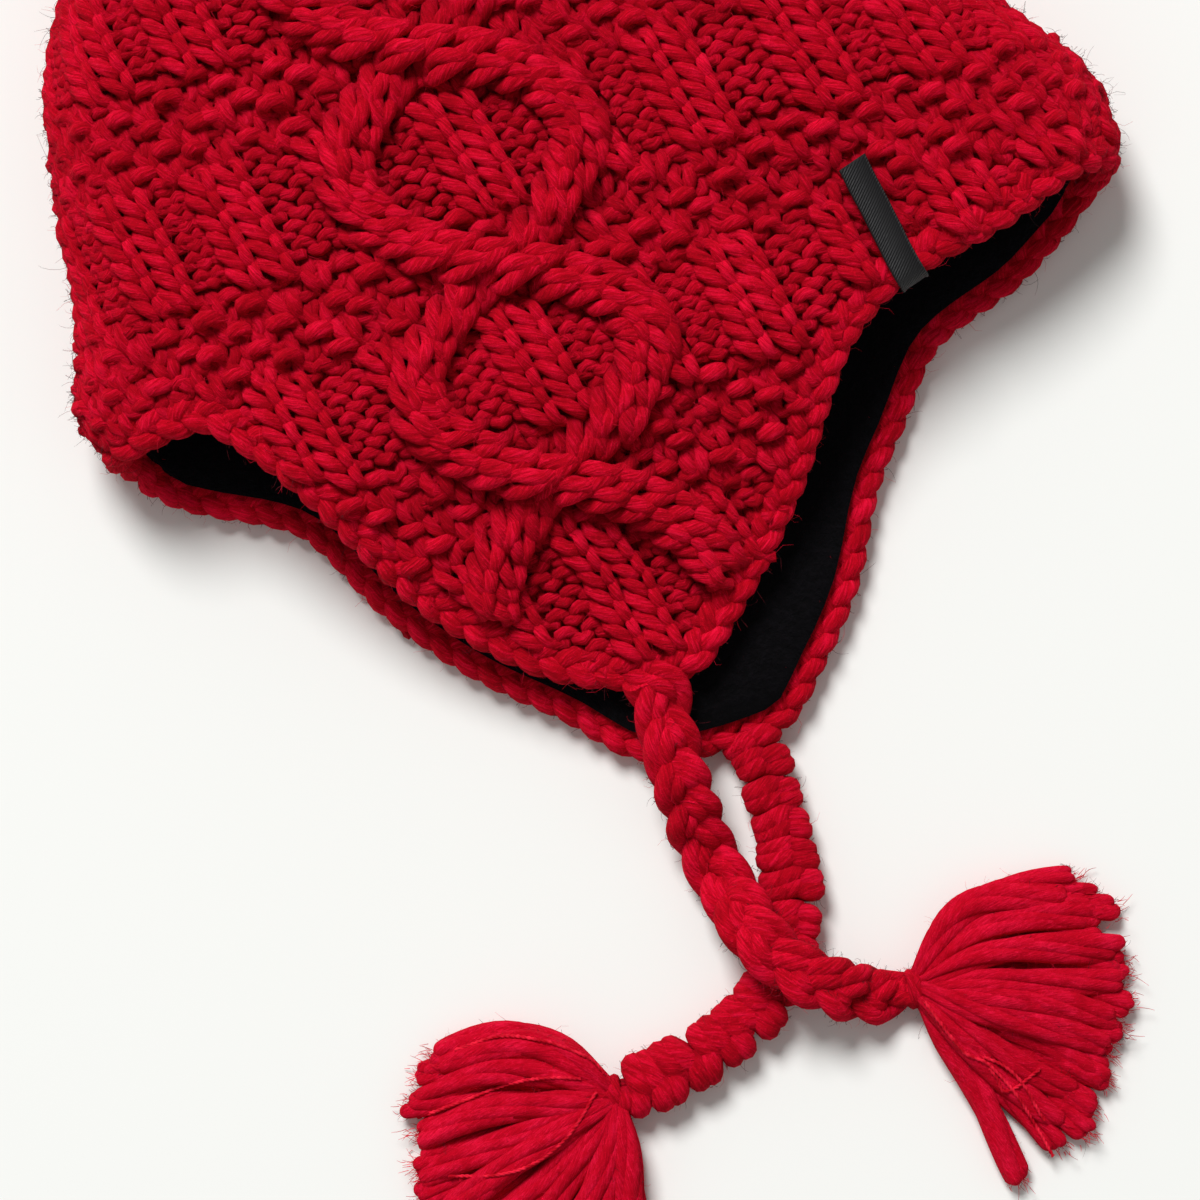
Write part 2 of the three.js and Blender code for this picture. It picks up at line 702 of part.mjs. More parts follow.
// Locks of yarn spread over the table, fused to a short head behind the binding
function tasselGeometry(route, table) {
  const { point, heading } = routeEnd(route);
  const root = point.clone().addScaledVector(heading, 2 * SEAT_GAP + BINDING_LENGTH);
  const waist = point.clone().addScaledVector(heading, BINDING_LENGTH / 2);
  const level = LOCK_HEIGHT / 2 + 0.05;
  const headPoints = [0, 0.35, 1].map((s) =>
    root.clone().addScaledVector(heading, s * 9).setZ(s < 1 ? BINDING_HEIGHT / 2 : level),
  );
  let solid = solidOf(
    laidBar(
      headPoints,
      [0.8 * BINDING_WIDTH, 1.05 * BINDING_WIDTH, 1.3 * BINDING_WIDTH],
      [0.84 * BINDING_HEIGHT, 0.84 * BINDING_HEIGHT, LOCK_HEIGHT],
    ),
  );
  for (const row of table) {
    const turn = THREE.MathUtils.degToRad(row.turn);
    const out = new THREE.Vector3(Math.cos(turn), Math.sin(turn), 0);
    const side = new THREE.Vector3(-out.y, out.x, 0);
    const reach = row.reach * TASSEL_LENGTH;
    const slant = Math.abs(side.dot(heading));
    const start = root.clone().addScaledVector(heading, 1 + 0.5 * LOCK_WIDTH * slant);
    const end = waist.clone().addScaledVector(out, reach);
    const points = [0, 0.3, 0.65, 1].map((s) => {
      const p = start.clone().lerp(end, s);
      p.addScaledVector(side, row.sway * reach * Math.sin(Math.PI * s) * 1.2);
      return p.setZ(level + 1.6 * (1 - s) ** 2);
    });
    const widths = [0.8, 1.05, 1.05, 0.75].map((s) => s * LOCK_WIDTH);
    const heights = [0.9, 1, 1, 0.75].map((s) => s * LOCK_HEIGHT);
    solid = solid.add(solidOf(laidBar(points, widths, heights)));
  }
  return geometryOf(solid);
}

const yarn = new THREE.MeshStandardMaterial({ color: 0xb8101f, roughness: 0.95, metalness: 0 });
const tasselYarn = new THREE.MeshStandardMaterial({ color: 0xcf1428, roughness: 0.95, metalness: 0 });
const fleece = new THREE.MeshStandardMaterial({ color: 0x0b0b10, roughness: 1, metalness: 0 });
const tape = new THREE.MeshStandardMaterial({ color: 0x0d0d0f, roughness: 0.8, metalness: 0 });

function named(name, geometry, material) {
  const mesh = new THREE.Mesh(geometry, material);
  mesh.name = name;
  return mesh;
}

const body = [
  named("knit_shell", knitShell(), yarn),
  named("rim_edging", rimEdging(), yarn),
  named("fleece_lining", fleeceLining(), fleece),
  named("label_tab", labelTab(), tape),
];
const laid = [
  named("near_tie", tieGeometry(NEAR_TIE_ROUTE), yarn),
  named("far_tie", tieGeometry(FAR_TIE_ROUTE), yarn),
  named("near_binding", bindingGeometry(NEAR_TIE_ROUTE), yarn),
  named("far_binding", bindingGeometry(FAR_TIE_ROUTE), yarn),
  named("near_tassel", tasselGeometry(NEAR_TIE_ROUTE, NEAR_LOCK_TABLE), tasselYarn),
  named("far_tassel", tasselGeometry(FAR_TIE_ROUTE, FAR_LOCK_TABLE), tasselYarn),
];

const hat = new THREE.Group();
hat.name = "earflap_hat";
hat.add(...body, ...laid);

// The frame stands on the table under the middle of the hat without its ties
const box = new THREE.Box3();
body.forEach((mesh) => box.expandByObject(mesh, true));
const centre = box.getCenter(new THREE.Vector3());
hat.position.set(-centre.x, -centre.y, -box.min.z);

export default hat;
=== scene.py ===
# %% [markdown]
# # An earflap hat in chunky cable knit
# A winter hat lies flat on its side on a pale table. It has two earflaps, crossed
# ropes up the middle, short ribs, moss stitch between them, a black fleece lining
# and two ties with tassels. The fixed frame holds its plain solids. Here the yarn
# itself is made, strand by strand, over the same surface.

import math

import bpy
import numpy as np
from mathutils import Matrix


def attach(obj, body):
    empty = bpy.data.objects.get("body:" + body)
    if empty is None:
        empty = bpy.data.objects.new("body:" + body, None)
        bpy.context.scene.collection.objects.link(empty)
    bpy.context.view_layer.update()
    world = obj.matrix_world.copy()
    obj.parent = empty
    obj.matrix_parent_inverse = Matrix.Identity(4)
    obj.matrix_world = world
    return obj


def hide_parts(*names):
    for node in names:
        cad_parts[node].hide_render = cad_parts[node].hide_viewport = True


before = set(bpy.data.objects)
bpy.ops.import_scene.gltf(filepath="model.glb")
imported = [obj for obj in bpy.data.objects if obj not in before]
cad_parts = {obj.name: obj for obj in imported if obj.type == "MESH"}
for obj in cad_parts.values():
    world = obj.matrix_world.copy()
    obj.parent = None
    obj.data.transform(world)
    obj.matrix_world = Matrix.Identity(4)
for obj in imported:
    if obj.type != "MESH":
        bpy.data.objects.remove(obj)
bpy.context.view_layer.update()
print("nodes:", ", ".join(sorted(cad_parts)))

# %% [markdown]
# ## The camera
# The hat is seen from straight above, from far away, and a little turned. A long
# lens keeps the outline free of perspective. The view transform is Standard, so
# that a deep red stays a deep red.

# %% The camera
MM = 0.001
LOOK_AT = (-0.02155, -0.09819)  # metres, the middle of the view on the table
VIEW_WIDTH = 0.2727
VIEW_TURN = math.radians(-17.52)
VIEW_HEIGHT = 1.3
VIEW_LEVEL = 0.012  # height of the surface that the width is measured on


def add_object(name, data):
    """An object that holds the data, in the scene."""
    obj = bpy.data.objects.new(name, data)
    bpy.context.scene.collection.objects.link(obj)
    return obj


camera_data = bpy.data.cameras.new("view_from_above")
camera_data.lens = camera_data.sensor_width * (VIEW_HEIGHT - VIEW_LEVEL) / VIEW_WIDTH
camera = add_object("view_from_above", camera_data)
camera.location = (*LOOK_AT, VIEW_HEIGHT)
camera.rotation_euler = (0, 0, VIEW_TURN)
bpy.context.scene.camera = camera
bpy.context.scene.view_settings.view_transform = "Standard"
print(f"lens {camera_data.lens:.0f} mm")

# %% [markdown]
# ## Yarn as swept strands
# Real yarn is a long thread that bends, so each strand here is a line of points,
# and a Geometry Nodes tree sweeps a small circle along all the lines at once. The
# tree also stores where a vertex lies round the strand and along it, so that the
# material can draw fibres that follow the yarn. The result becomes a plain mesh.

# %% Nodes in fewer lines
def set_inputs(tree, node, inputs):
    """Gives each named input a link where it gets a socket, and a value otherwise."""
    for key, value in inputs.items():
        if isinstance(value, bpy.types.NodeSocket):
            tree.links.new(value, node.inputs[key])
        else:
            node.inputs[key].default_value = value


def add_node(tree, kind, inputs=None, **settings):
    node = tree.nodes.new(kind)
    for key, value in settings.items():
        setattr(node, key, value)
    set_inputs(tree, node, inputs or {})
    return node


def maths(tree, operation, *values):
    """The result of a math node, for numbers or sockets."""
    return add_node(tree, "ShaderNodeMath", dict(enumerate(values)), operation=operation).outputs[0]


def start_tree(name, sockets):
    """A Geometry Nodes tree and its inputs, each with a name, kind, value and lowest value."""
    tree = bpy.data.node_groups.new(name, "GeometryNodeTree")
    for key, kind, value, low in (("Geometry", "Geometry", None, None), *sockets):
        socket = tree.interface.new_socket(name=key, in_out="INPUT", socket_type="NodeSocket" + kind)
        if value is not None:
            socket.default_value = value
            socket.min_value = low
    tree.interface.new_socket(name="Geometry", in_out="OUTPUT", socket_type="NodeSocketGeometry")
    return tree, tree.nodes.new("NodeGroupInput").outputs


def end_tree(tree, geometry, finish):
    """The end that both trees share: real geometry with its material."""
    real = add_node(tree, "GeometryNodeRealizeInstances", {"Geometry": geometry})
    finished = add_node(
        tree,
        "GeometryNodeSetMaterial",
        {"Geometry": real.outputs["Geometry"], "Material": finish},
    )
    add_node(tree, "NodeGroupOutput", {"Geometry": finished.outputs["Geometry"]})


# %% The tree that sweeps strands
def strand_tree():
    tree, given = start_tree(
        "Sweep strands",
        (("Sides", "Int", 8, 3), ("Thickness", "Float", 1.0, 0.0), ("Finish", "Material", None, None)),
    )
    lines = add_node(tree, "GeometryNodeMeshToCurve", {"Mesh": given["Geometry"]})
    ring = add_node(
        tree,
        "GeometryNodeCurvePrimitiveCircle",
        {"Radius": 1.0, "Resolution": given["Sides"]},
    )
    place = add_node(tree, "GeometryNodeInputPosition")
    parts = add_node(tree, "ShaderNodeSeparateXYZ", {"Vector": place.outputs["Position"]})
    section = ring.outputs["Curve"]
    for name, part in (("round_x", "X"), ("round_y", "Y")):
        store = add_node(
            tree,
            "GeometryNodeStoreNamedAttribute",
            {"Geometry": section, "Name": name, "Value": parts.outputs[part]},
        )
        section = store.outputs["Geometry"]
    thick = add_node(tree, "GeometryNodeInputNamedAttribute", {"Name": "thick"})
    sweep = add_node(
        tree,
        "GeometryNodeCurveToMesh",
        {
            "Curve": lines.outputs["Curve"],
            "Profile Curve": section,
            "Scale": maths(tree, "MULTIPLY", thick.outputs["Attribute"], given["Thickness"]),
            "Fill Caps": True,
        },
    )
    rounded = add_node(tree, "GeometryNodeSetShadeSmooth", {"Geometry": sweep.outputs["Mesh"]})
    end_tree(tree, rounded.outputs["Geometry"], given["Finish"])
    return tree


SWEEP = strand_tree()

# %% From lines to a finished piece
HAT_SHIFT = np.array([-1.049, -33.185, 0.0])  # mm, from the hat's own frame to the row's


def row_frame(points):
    """Millimetres in the hat's own frame to metres in the row's frame."""
    return (points + HAT_SHIFT) * MM


def distance_along(points):
    step = np.linalg.norm(np.diff(points, axis=0), axis=1)
    return np.concatenate([[0], np.cumsum(step)])


def line_mesh(name, lines, thick, shade, level):
    """A mesh of edges alone: lines in mm, with a thickness, tone and painted-shade level per point."""
    points = np.concatenate(lines)
    counts = [len(line) for line in lines]
    start = np.arange(len(points) - 1)
    joined = np.ones(len(points) - 1, bool)
    joined[np.cumsum(counts)[:-1] - 1] = False
    edges = np.stack([start, start + 1], 1)[joined]
    mesh = bpy.data.meshes.new(name)
    mesh.vertices.add(len(points))
    mesh.vertices.foreach_set("co", row_frame(points).ravel())
    mesh.edges.add(len(edges))
    mesh.edges.foreach_set("vertices", edges.ravel())

    def per_point(values):
        return np.concatenate([np.broadcast_to(v, n) for v, n in zip(values, counts)])

    stored_values = {
        "thick": per_point(thick) * MM,
        "shade": per_point(shade),
        "level": per_point(level),
        "along": np.concatenate([distance_along(line) for line in lines]),
    }
    for key, values in stored_values.items():
        layer = mesh.attributes.new(key, "FLOAT", "POINT")
        layer.data.foreach_set("value", values.astype(np.float32))
    mesh.update()
    return mesh


def with_tree(name, mesh, tree, **settings):
    """The mesh put through a Geometry Nodes tree, as a plain mesh in an object."""
    raw = add_object(name, mesh)
    modifier = raw.modifiers.new("making", "NODES")
    modifier.node_group = tree
    sockets = {s.name: s.identifier for s in tree.interface.items_tree if s.in_out == "INPUT"}
    for key, value in settings.items():
        modifier[sockets[key]] = value
    graph = bpy.context.evaluated_depsgraph_get()
    made = bpy.data.meshes.new_from_object(raw.evaluated_get(graph), depsgraph=graph)
    made.name = name
    raw.modifiers.clear()
    raw.data = made
    return raw


def triangles(obj):
    return sum(len(face.vertices) - 2 for face in obj.data.polygons)


def above_table(line, wide):
    """The line, lifted where its yarn would dip into the table."""
    lifted = line.copy()
    lifted[:, 2] = np.maximum(line[:, 2], np.broadcast_to(wide, len(line)))
    return lifted


def strands(name, lines, thick, shade, finish, sides=8, level=None):
    if level is None:
        level = [0.0] * len(lines)
    lines = [above_table(line, wide) for line, wide in zip(lines, thick)]
    mesh = line_mesh(name, lines, thick, shade, level)
    obj = with_tree(name, mesh, SWEEP, Sides=sides, Thickness=1.0, Finish=finish)
    print(f"{name}: {len(lines)} strands, {triangles(obj)} triangles")
    return obj


# %% [markdown]
# ## The finish of the yarn
# Wool yarn is a bundle of fine fibres with a slight twist. It has no gloss, a soft
# sheen where light grazes it, and dark gaps where light doesn't reach. One shader
# group turns the stored places round and along the strand into twisted streaks,
# and paints shade from the stored level, so that yarn deep in the fabric is drawn
# darker. Each yarn material uses it with its own values.

# %% The fibre group
def stored(tree, name):
    """A value stored on the mesh, as a shader reads it."""
    return add_node(tree, "ShaderNodeAttribute", attribute_name=name).outputs["Fac"]


def object_noise(tree, scale, detail=2.0, roughness=0.5):
    """Noise that keeps its place on the object."""
    inputs = {
        "Vector": add_node(tree, "ShaderNodeTexCoord").outputs["Object"],
        "Scale": scale,
        "Detail": detail,
        "Roughness": roughness,
    }
    return add_node(tree, "ShaderNodeTexNoise", inputs).outputs["Fac"]


def tangled_threads(tree):
    """Thin lines that wander over the yarn, from the level lines of two noises."""
    tangle = 0.0
    for scale, turns in ((430.0, 14.0), (610.0, 11.0)):
        field = object_noise(tree, scale, 1.0)
        level_line = maths(tree, "PINGPONG", maths(tree, "MULTIPLY", field, turns), 1.0)
        away = maths(tree, "SMOOTH_MIN", maths(tree, "MULTIPLY", level_line, 5.0), 1.0, 0.2)
        thread = maths(tree, "SUBTRACT", 1.0, away)
        tangle = maths(tree, "ADD", tangle, maths(tree, "MAXIMUM", thread, 0.0))
    return tangle


def fibre_group():
    group = bpy.data.node_groups.new("Spun fibres", "ShaderNodeTree")
    face = group.interface
    for name, value in (("Twist", 0.4), ("Plies", 3.0), ("Fineness", 1.0)):
        socket = face.new_socket(name=name, in_out="INPUT", socket_type="NodeSocketFloat")
        socket.default_value = value
    for name in ("Height", "Tint", "Light"):
        face.new_socket(name=name, in_out="OUTPUT", socket_type="NodeSocketFloat")
    given = group.nodes.new("NodeGroupInput").outputs

    def times(a, b):
        return maths(group, "MULTIPLY", a, b)

    def plus(a, b):
        return maths(group, "ADD", a, b)

    along = stored(group, "along")
    shade = stored(group, "shade")
    turn = maths(group, "ARCTAN2", stored(group, "round_y"), stored(group, "round_x"))
    twisted = plus(turn, times(along, given["Twist"]))
    wave = maths(group, "SINE", times(twisted, times(given["Plies"], 0.5)))
    ply = maths(group, "POWER", maths(group, "ABSOLUTE", wave), 0.8)
    across = add_node(
        group,
        "ShaderNodeCombineXYZ",
        {
            "X": maths(group, "COSINE", twisted),
            "Y": maths(group, "SINE", twisted),
            "Z": plus(times(along, 0.09), times(shade, 37.0)),
        },
    )
    streak = add_node(
        group,
        "ShaderNodeTexNoise",
        {
            "Vector": across.outputs["Vector"],
            "Scale": times(given["Fineness"], 4.2),
            "Detail": 6.0,
            "Roughness": 0.75,
        },
    ).outputs["Fac"]
    slow = add_node(group, "ShaderNodeCombineXYZ", {"X": times(along, 0.12), "Y": times(shade, 91.0)})
    patch = add_node(
        group,
        "ShaderNodeTexNoise",
        {"Vector": slow.outputs["Vector"], "Scale": 1.0, "Detail": 2.0},
    ).outputs["Fac"]
    tangle = tangled_threads(group)
    height = plus(plus(times(ply, 0.45), times(streak, 0.9)), times(tangle, 0.12))
    tint = plus(plus(times(streak, 0.7), times(patch, 0.3)), times(tangle, 0.065))
    # painted shade: yarn that lies deep in the fabric, with a low stored level, is drawn darker
    sunk = add_node(
        group,
        "ShaderNodeMapRange",
        {
            "Value": stored(group, "level"),
            "From Min": -5.2,
            "From Max": 0.2,
            "To Min": 0.52,
            "To Max": 1.0,
        },
        interpolation_type="SMOOTHSTEP",
    )
    results = {"Height": height, "Tint": tint, "Light": sunk.outputs["Result"]}
    add_node(group, "NodeGroupOutput", results)
    return group


FIBRES = fibre_group()

# %% What the materials share
def start_material(name, values):
    """A material, its tree, and its shader with some inputs set."""
    material = bpy.data.materials.new(name)
    material.use_nodes = True
    tree = material.node_tree
    shader = tree.nodes["Principled BSDF"]
    set_inputs(tree, shader, values)
    return material, tree, shader


def colour_ramp(tree, factor, stops):
    """Colours over a value, from a list of places and colours."""
    ramp = add_node(tree, "ShaderNodeValToRGB", {"Fac": factor})
    elements = ramp.color_ramp.elements
    for element, (place, colour) in zip(elements, (stops[0], stops[-1])):
        element.position = place
        element.color = (*colour, 1)
    for place, colour in stops[1:-1]:
        elements.new(place).color = (*colour, 1)
    return ramp.outputs["Color"]


def paint(tree, shader, colour, height, depth, strength=1.0):
    """The colour and the small relief of a surface."""
    relief = {"Height": height, "Distance": depth, "Strength": strength}
    bump = add_node(tree, "ShaderNodeBump", relief)
    set_inputs(tree, shader, {"Base Color": colour, "Normal": bump.outputs["Normal"]})


# %% The yarn materials
PAINTED_SHADE_RED = (0.14, 0.0, 0.004)  # painted shade: the colour of yarn deep between the loops, where little light reaches
PALE_FIBRE_GLINT = (1.0, 0.012, 0.06)  # the palest fibres, partly painted glints of light


def yarn_material(name, dark, middle, light, twist, plies, fineness, depth, sheen):
    values = {
        "Roughness": 0.9,
        "Specular IOR Level": 0.06,
        "Sheen Weight": sheen,
        "Sheen Roughness": 0.5,
        "Sheen Tint": (1.0, 0.012, 0.045, 1),
    }
    material, tree, shader = start_material(name, values)
    settings = {"Twist": twist, "Plies": plies, "Fineness": fineness}
    fibres = add_node(tree, "ShaderNodeGroup", settings, node_tree=FIBRES)
    stops = [(0.34, dark), (0.5, middle), (0.61, light), (0.7, PALE_FIBRE_GLINT)]
    lit = colour_ramp(tree, fibres.outputs["Tint"], stops)
    # painted shade: the Light value from the stored level mixes the colour towards a dark red
    shaded = add_node(
        tree,
        "ShaderNodeMix",
        {"Factor": fibres.outputs["Light"], "A": (*PAINTED_SHADE_RED, 1), "B": lit},
        data_type="RGBA",
    )
    paint(tree, shader, shaded.outputs["Result"], fibres.outputs["Height"], depth)
    return material


KNIT_YARN = yarn_material(
    "crimson_yarn",
    dark=(0.25, 0.0, 0.004),
    middle=(0.57, 0.001, 0.012),
    light=(0.95, 0.004, 0.043),
    twist=0.35,
    plies=3.0,
    fineness=0.8,
    depth=0.0008,
    sheen=0.35,
)
TASSEL_YARN = yarn_material(
    "bright_tassel_yarn",
    dark=(0.36, 0.0, 0.006),
    middle=(0.58, 0.001, 0.016),
    light=(0.8, 0.006, 0.045),
    twist=0.2,
    plies=3.0,
    fineness=1.2,
    depth=0.0005,
    sheen=0.35,
)
print("yarn finishes:", KNIT_YARN.name, TASSEL_YARN.name)

# %% [markdown]
# ## The ties
# The near tie is a plait of three strands, each of two yarns. A plait is easy to
# write down: every strand swings from side to side in a sine wave and dips under
# once on each pass, a third of a turn behind its neighbour. The routes are the same
# points as in the frame, so that the ties lie where their plain solids do.

# %% The routes
NEAR_TIE_ROUTE = [
    (-13.8, -90.5, 15.2), (-14.9, -100, 15.1), (-15.3, -108, 14.9), (-15.3, -114, 12.7),
    (-15.1, -120, 8.6), (-14.6, -126, 5.6), (-13.6, -132, 5.2), (-12.2, -138, 8.6),
    (-10.6, -144.5, 13.4), (-8.2, -151, 14.9), (-4.4, -157.4, 15), (0.6, -162.4, 14.2),
    (5.4, -166.2, 11.2), (9.6, -168.8, 7.4), (13.8, -170.4, 4.9), (17.6, -170.9, 4.9),
]
FAR_TIE_ROUTE = [
    (3.4, -109.6, 4.9), (4.2, -116, 4.9), (4.1, -122, 4.9), (3.5, -130.1, 4.9), (2.2, -138.9, 4.9),
    (0, -147.3, 4.9), (-5.4, -156.8, 4.9), (-12.8, -163.6, 4.9), (-22.7, -169, 4.9),
    (-32.7, -171.8, 4.9), (-41, -173.3, 4.9), (-47.4, -173.7, 4.9),
]


def smooth_route(route, step=1.0):
    """A smooth line through the points, sampled at even steps, and its length."""
    knots = np.array(route, float)
    knots = np.vstack([2 * knots[0] - knots[1], knots, 2 * knots[-1] - knots[-2]])
    share = np.linspace(0, 1, 25)[:-1, None]
    runs = []
    for a, b, c, d in zip(knots, knots[1:], knots[2:], knots[3:]):
        curve = 2 * b + (c - a) * share
        curve = curve + (2 * a - 5 * b + 4 * c - d) * share**2
        curve = curve + (3 * b - a - 3 * c + d) * share**3
        runs.append(curve / 2)
    points = np.vstack([*runs, knots[-2]])
    length = distance_along(points)
    at = np.linspace(0, length[-1], int(length[-1] / step) + 1)
    return np.stack([np.interp(at, length, points[:, k]) for k in range(3)], 1), length[-1]


def laid_frames(points):
    """Level side and up for each point of a cord that lies flat."""
    heading = np.gradient(points, axis=0)
    heading /= np.linalg.norm(heading, axis=1, keepdims=True)
    side = np.cross([0.0, 0.0, 1.0], heading)
    side /= np.linalg.norm(side, axis=1, keepdims=True)
    return side, np.cross(heading, side)


# %% The plaited tie
def smooth(value):
    """0 below 0, 1 above 1, and a soft step between."""
    value = np.clip(value, 0, 1)
    return value**2 * (3 - 2 * value)


def at_distance(grid, along, place):
    return np.stack([np.interp(place, along, grid[:, k]) for k in range(3)], 1)


def plait(centre, side, up, spacing, swing, dip, gap, unrest):
    """Three strands of two yarns each, side by side, round a centre line."""
    along = distance_along(centre)
    gather = 0.42 + 0.58 * smooth((along[-1] - along - 1) / 9)
    lines, heights, sizes = [], [], []
    for strand in range(3):
        drift = unrest * (np.sin(along / 9.0 + 2.1 * strand) + np.sin(along / 5.3 + strand))
        angle = 2 * math.pi * (along / (3 * spacing) + strand / 3) + 0.22 * drift
        heading = 2 * math.pi * swing / (3 * spacing) * np.cos(angle)
        for offset in (-gap / 2, gap / 2):
            bow = np.sign(np.sin(angle)) * np.abs(np.sin(angle)) ** 0.8
            x = (swing * bow + offset / np.sqrt(1 + heading**2)) * gather
            z = dip * np.sin(2 * angle) + 0.3 * drift - 0.12 * offset
            place = np.clip(along - offset * heading / np.sqrt(1 + heading**2), 0, along[-1])
            base = at_distance(centre, along, place)
            lines.append(base + side * x[:, None] + up * z[:, None])
            heights.append(z)
            sizes.append(np.ones(len(z)))
    return lines, heights, sizes


# %% [markdown]
# ## The tie of rounded lumps
# The far tie reads as a row of soft lumps. Here it isn't a true plait: doubled yarns
# are laid across it from both edges in turn, and tuck under each other at a seam near
# the middle. Small random shifts keep the lumps from looking alike.

# %% The lumpy tie
# side of the tie, yarn size, gap of its two yarns, reach to the edge, height, slant
WIDE_LUMP = (-1, 1.34, 2.5, 4.3, 2.0, 0.9)
NARROW_LUMP = (1, 1.26, 2.4, 4.3, 2.3, 1.5)
cord_rng = np.random.default_rng(11)


def lumpy_cord(centre, side, up, pitch, seam):
    """Doubled yarns laid across a flat cord from both edges, tucked under at a seam."""
    along = distance_along(centre)
    t = np.linspace(-0.5, math.pi + 0.5, 17)
    tuck = smooth((0.45 - t) / 0.9) + smooth((t - math.pi + 0.45) / 0.9)
    lines, heights, sizes = [], [], []
    row = -0.2 * pitch[0]
    while row < along[-1] + 0.1 * pitch[1]:
        later = smooth((row / along[-1] - 0.45) / 0.25)
        apart = pitch[0] + (pitch[1] - pitch[0]) * later
        for sign, size, gap, wide, tall, slant in (WIDE_LUMP, NARROW_LUMP):
            middle = row + sign * apart * (0.04 + 0.2 * later) + cord_rng.normal(0, 0.55)
            bulk = 1 + 0.1 * cord_rng.normal()
            tilt = slant + cord_rng.normal(0, 0.9)
            inner = seam + cord_rng.normal(0, 0.6)
            for offset in (-gap / 2, gap / 2):
                step_aside = offset * apart / pitch[0] * (1.1 - 0.1 * np.sin(t))
                a = middle + step_aside + tilt * (np.sin(t) - 0.5)
                gather = 0.55 + 0.45 * smooth((along[-1] - a - 0.5) / 4)
                x = (sign * wide * np.sin(t) * bulk + inner * np.cos(t)) * gather
                z = tall * np.cos(t) * bulk * (1 - 0.45 * tuck) + cord_rng.normal(0, 0.12)
                a = np.clip(a, 0, along[-1])
                base = at_distance(centre, along, a)
                across = at_distance(side, along, a)
                above = at_distance(up, along, a)
                lines.append(base + across * x[:, None] + above * z[:, None])
                # painted shade: yarn tucked under at the seam, and a little at the edge, gets a lower
                # level and is drawn darker
                heights.append(-2.4 * tuck - 0.4 * (1 - np.abs(np.cos(t))))
                sizes.append(size * (1 - 0.3 * tuck) * (1 + 0.1 * later))
        row += apart
    return lines, heights, sizes


# %% Both ties
NECK = 3.6  # how far a tie runs on into the neck of its tassel


def tie(name, route, root, make, yarn, **shape):
    """A tie along its route, from a point at the edging and on into the tassel's neck."""
    centre, length = smooth_route(route)
    heading = centre[-1] - centre[-2]
    neck = centre[-1] + heading / np.linalg.norm(heading) * NECK
    drawn, _ = smooth_route([root, *route, neck])
    side, up = laid_frames(drawn)
    lines, heights, sizes = make(drawn, side, up, **shape)
    # painted shade: each yarn's level comes from how high it lies, so yarn that dips under is drawn
    # darker
    obj = strands(
        name,
        lines,
        thick=[yarn * size * (1 + 0.05 * cord_rng.normal()) for size in sizes],
        shade=cord_rng.random(len(lines)),
        finish=KNIT_YARN,
        sides=10,
        level=[1.4 * height - 1.3 for height in heights],
    )
    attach(obj, "root")
    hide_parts(name.replace("_plait", "_tie"))
    print(f"{name}: {length:.0f} mm long")
    return obj, centre, length


near_plait, near_line, near_length = tie(
    "near_plait", NEAR_TIE_ROUTE, (-15.2, -84, 16.8), plait, 2.2,
    spacing=9.4, swing=3.5, dip=1.6, gap=2.9, unrest=0.9,
)
far_plait, far_line, far_length = tie(
    "far_plait", FAR_TIE_ROUTE, (2.9, -106, 4.6), lumpy_cord, 2.1,
    pitch=(7.1, 8.8), seam=1.1,
)

# %% [markdown]
# ## The shape of the flattened hat
# The fabric follows the same surface as the frame: a loop of two flat layers with
# round folds, which narrows to a gathered top. The tables are the frame's own.
# Everything knitted is placed by three numbers: how far round the loop, how far
# up, and how high above the surface.

# %% Sizes of the hat
FLAT_WIDTH = 244.0
CROWN_HEIGHT = 176.0
UPPER_FLAP = 91.0
LOWER_FLAP = 109.0
HEAD_ROOM = 15.0
ARCH_RISE = 4.0
FLAP_REST_GAP = 1.0
KNIT_THICKNESS = 7.0
FLEECE_THICKNESS = 2.2
WALL = KNIT_THICKNESS + 0.3 + FLEECE_THICKNESS
CROWN_CLIMB = CROWN_HEIGHT * 1.12
EDGING_WIDTH = 7.6

# along, height, left, right, room, full
CROWN_TABLE = np.array([
    (0.0, 0.0, 0.488, 0.502, 1.0, 1.0), (0.045, 0.06, 0.497, 0.503, 1.03, 1.0),
    (0.1, 0.137, 0.477, 0.477, 1.08, 1.0), (0.16, 0.214, 0.462, 0.435, 1.12, 1.0),
    (0.24, 0.32, 0.457, 0.402, 1.16, 1.0), (0.33, 0.443, 0.437, 0.372, 1.22, 1.0),
    (0.44, 0.574, 0.394, 0.34, 1.26, 1.0), (0.54, 0.693, 0.338, 0.3, 1.26, 1.0),
    (0.64, 0.8, 0.279, 0.25, 1.24, 0.99), (0.74, 0.892, 0.207, 0.184, 1.2, 0.96),
    (0.84, 0.952, 0.131, 0.113, 1.2, 0.85), (0.93, 0.986, 0.059, 0.047, 1.2, 0.6),
    (1.0, 1.0, 0.006, -0.006, 1.2, 0.0),
])
# across, depth
UPPER_EDGE_TABLE = np.array([
    (-0.5, 0.0), (-0.477, -0.008), (-0.427, 0.021), (-0.393, 0.02), (-0.348, 0.133),
    (-0.236, 0.682), (-0.149, 0.896), (-0.094, 0.967), (-0.061, 0.989), (-0.029, 0.997),
    (0.045, 0.86), (0.119, 0.66), (0.213, 0.301), (0.258, 0.218), (0.295, 0.184), (0.373, 0.14),
    (0.488, 0.038), (0.504, 0.03),
])
LOWER_EDGE_TABLE = np.array([
    (-0.5, 0.03), (-0.483, 0.05), (-0.46, 0.112), (-0.412, 0.176), (-0.334, 0.28), (-0.28, 0.514),
    (-0.222, 0.689), (-0.15, 0.839), (-0.094, 0.965), (-0.05, 0.995), (-0.005, 1.0), (0.043, 0.994),
    (0.102, 0.88), (0.151, 0.75), (0.197, 0.565), (0.232, 0.465), (0.291, 0.305), (0.378, 0.232),
    (0.425, 0.172), (0.46, 0.125), (0.504, 0.07),
])

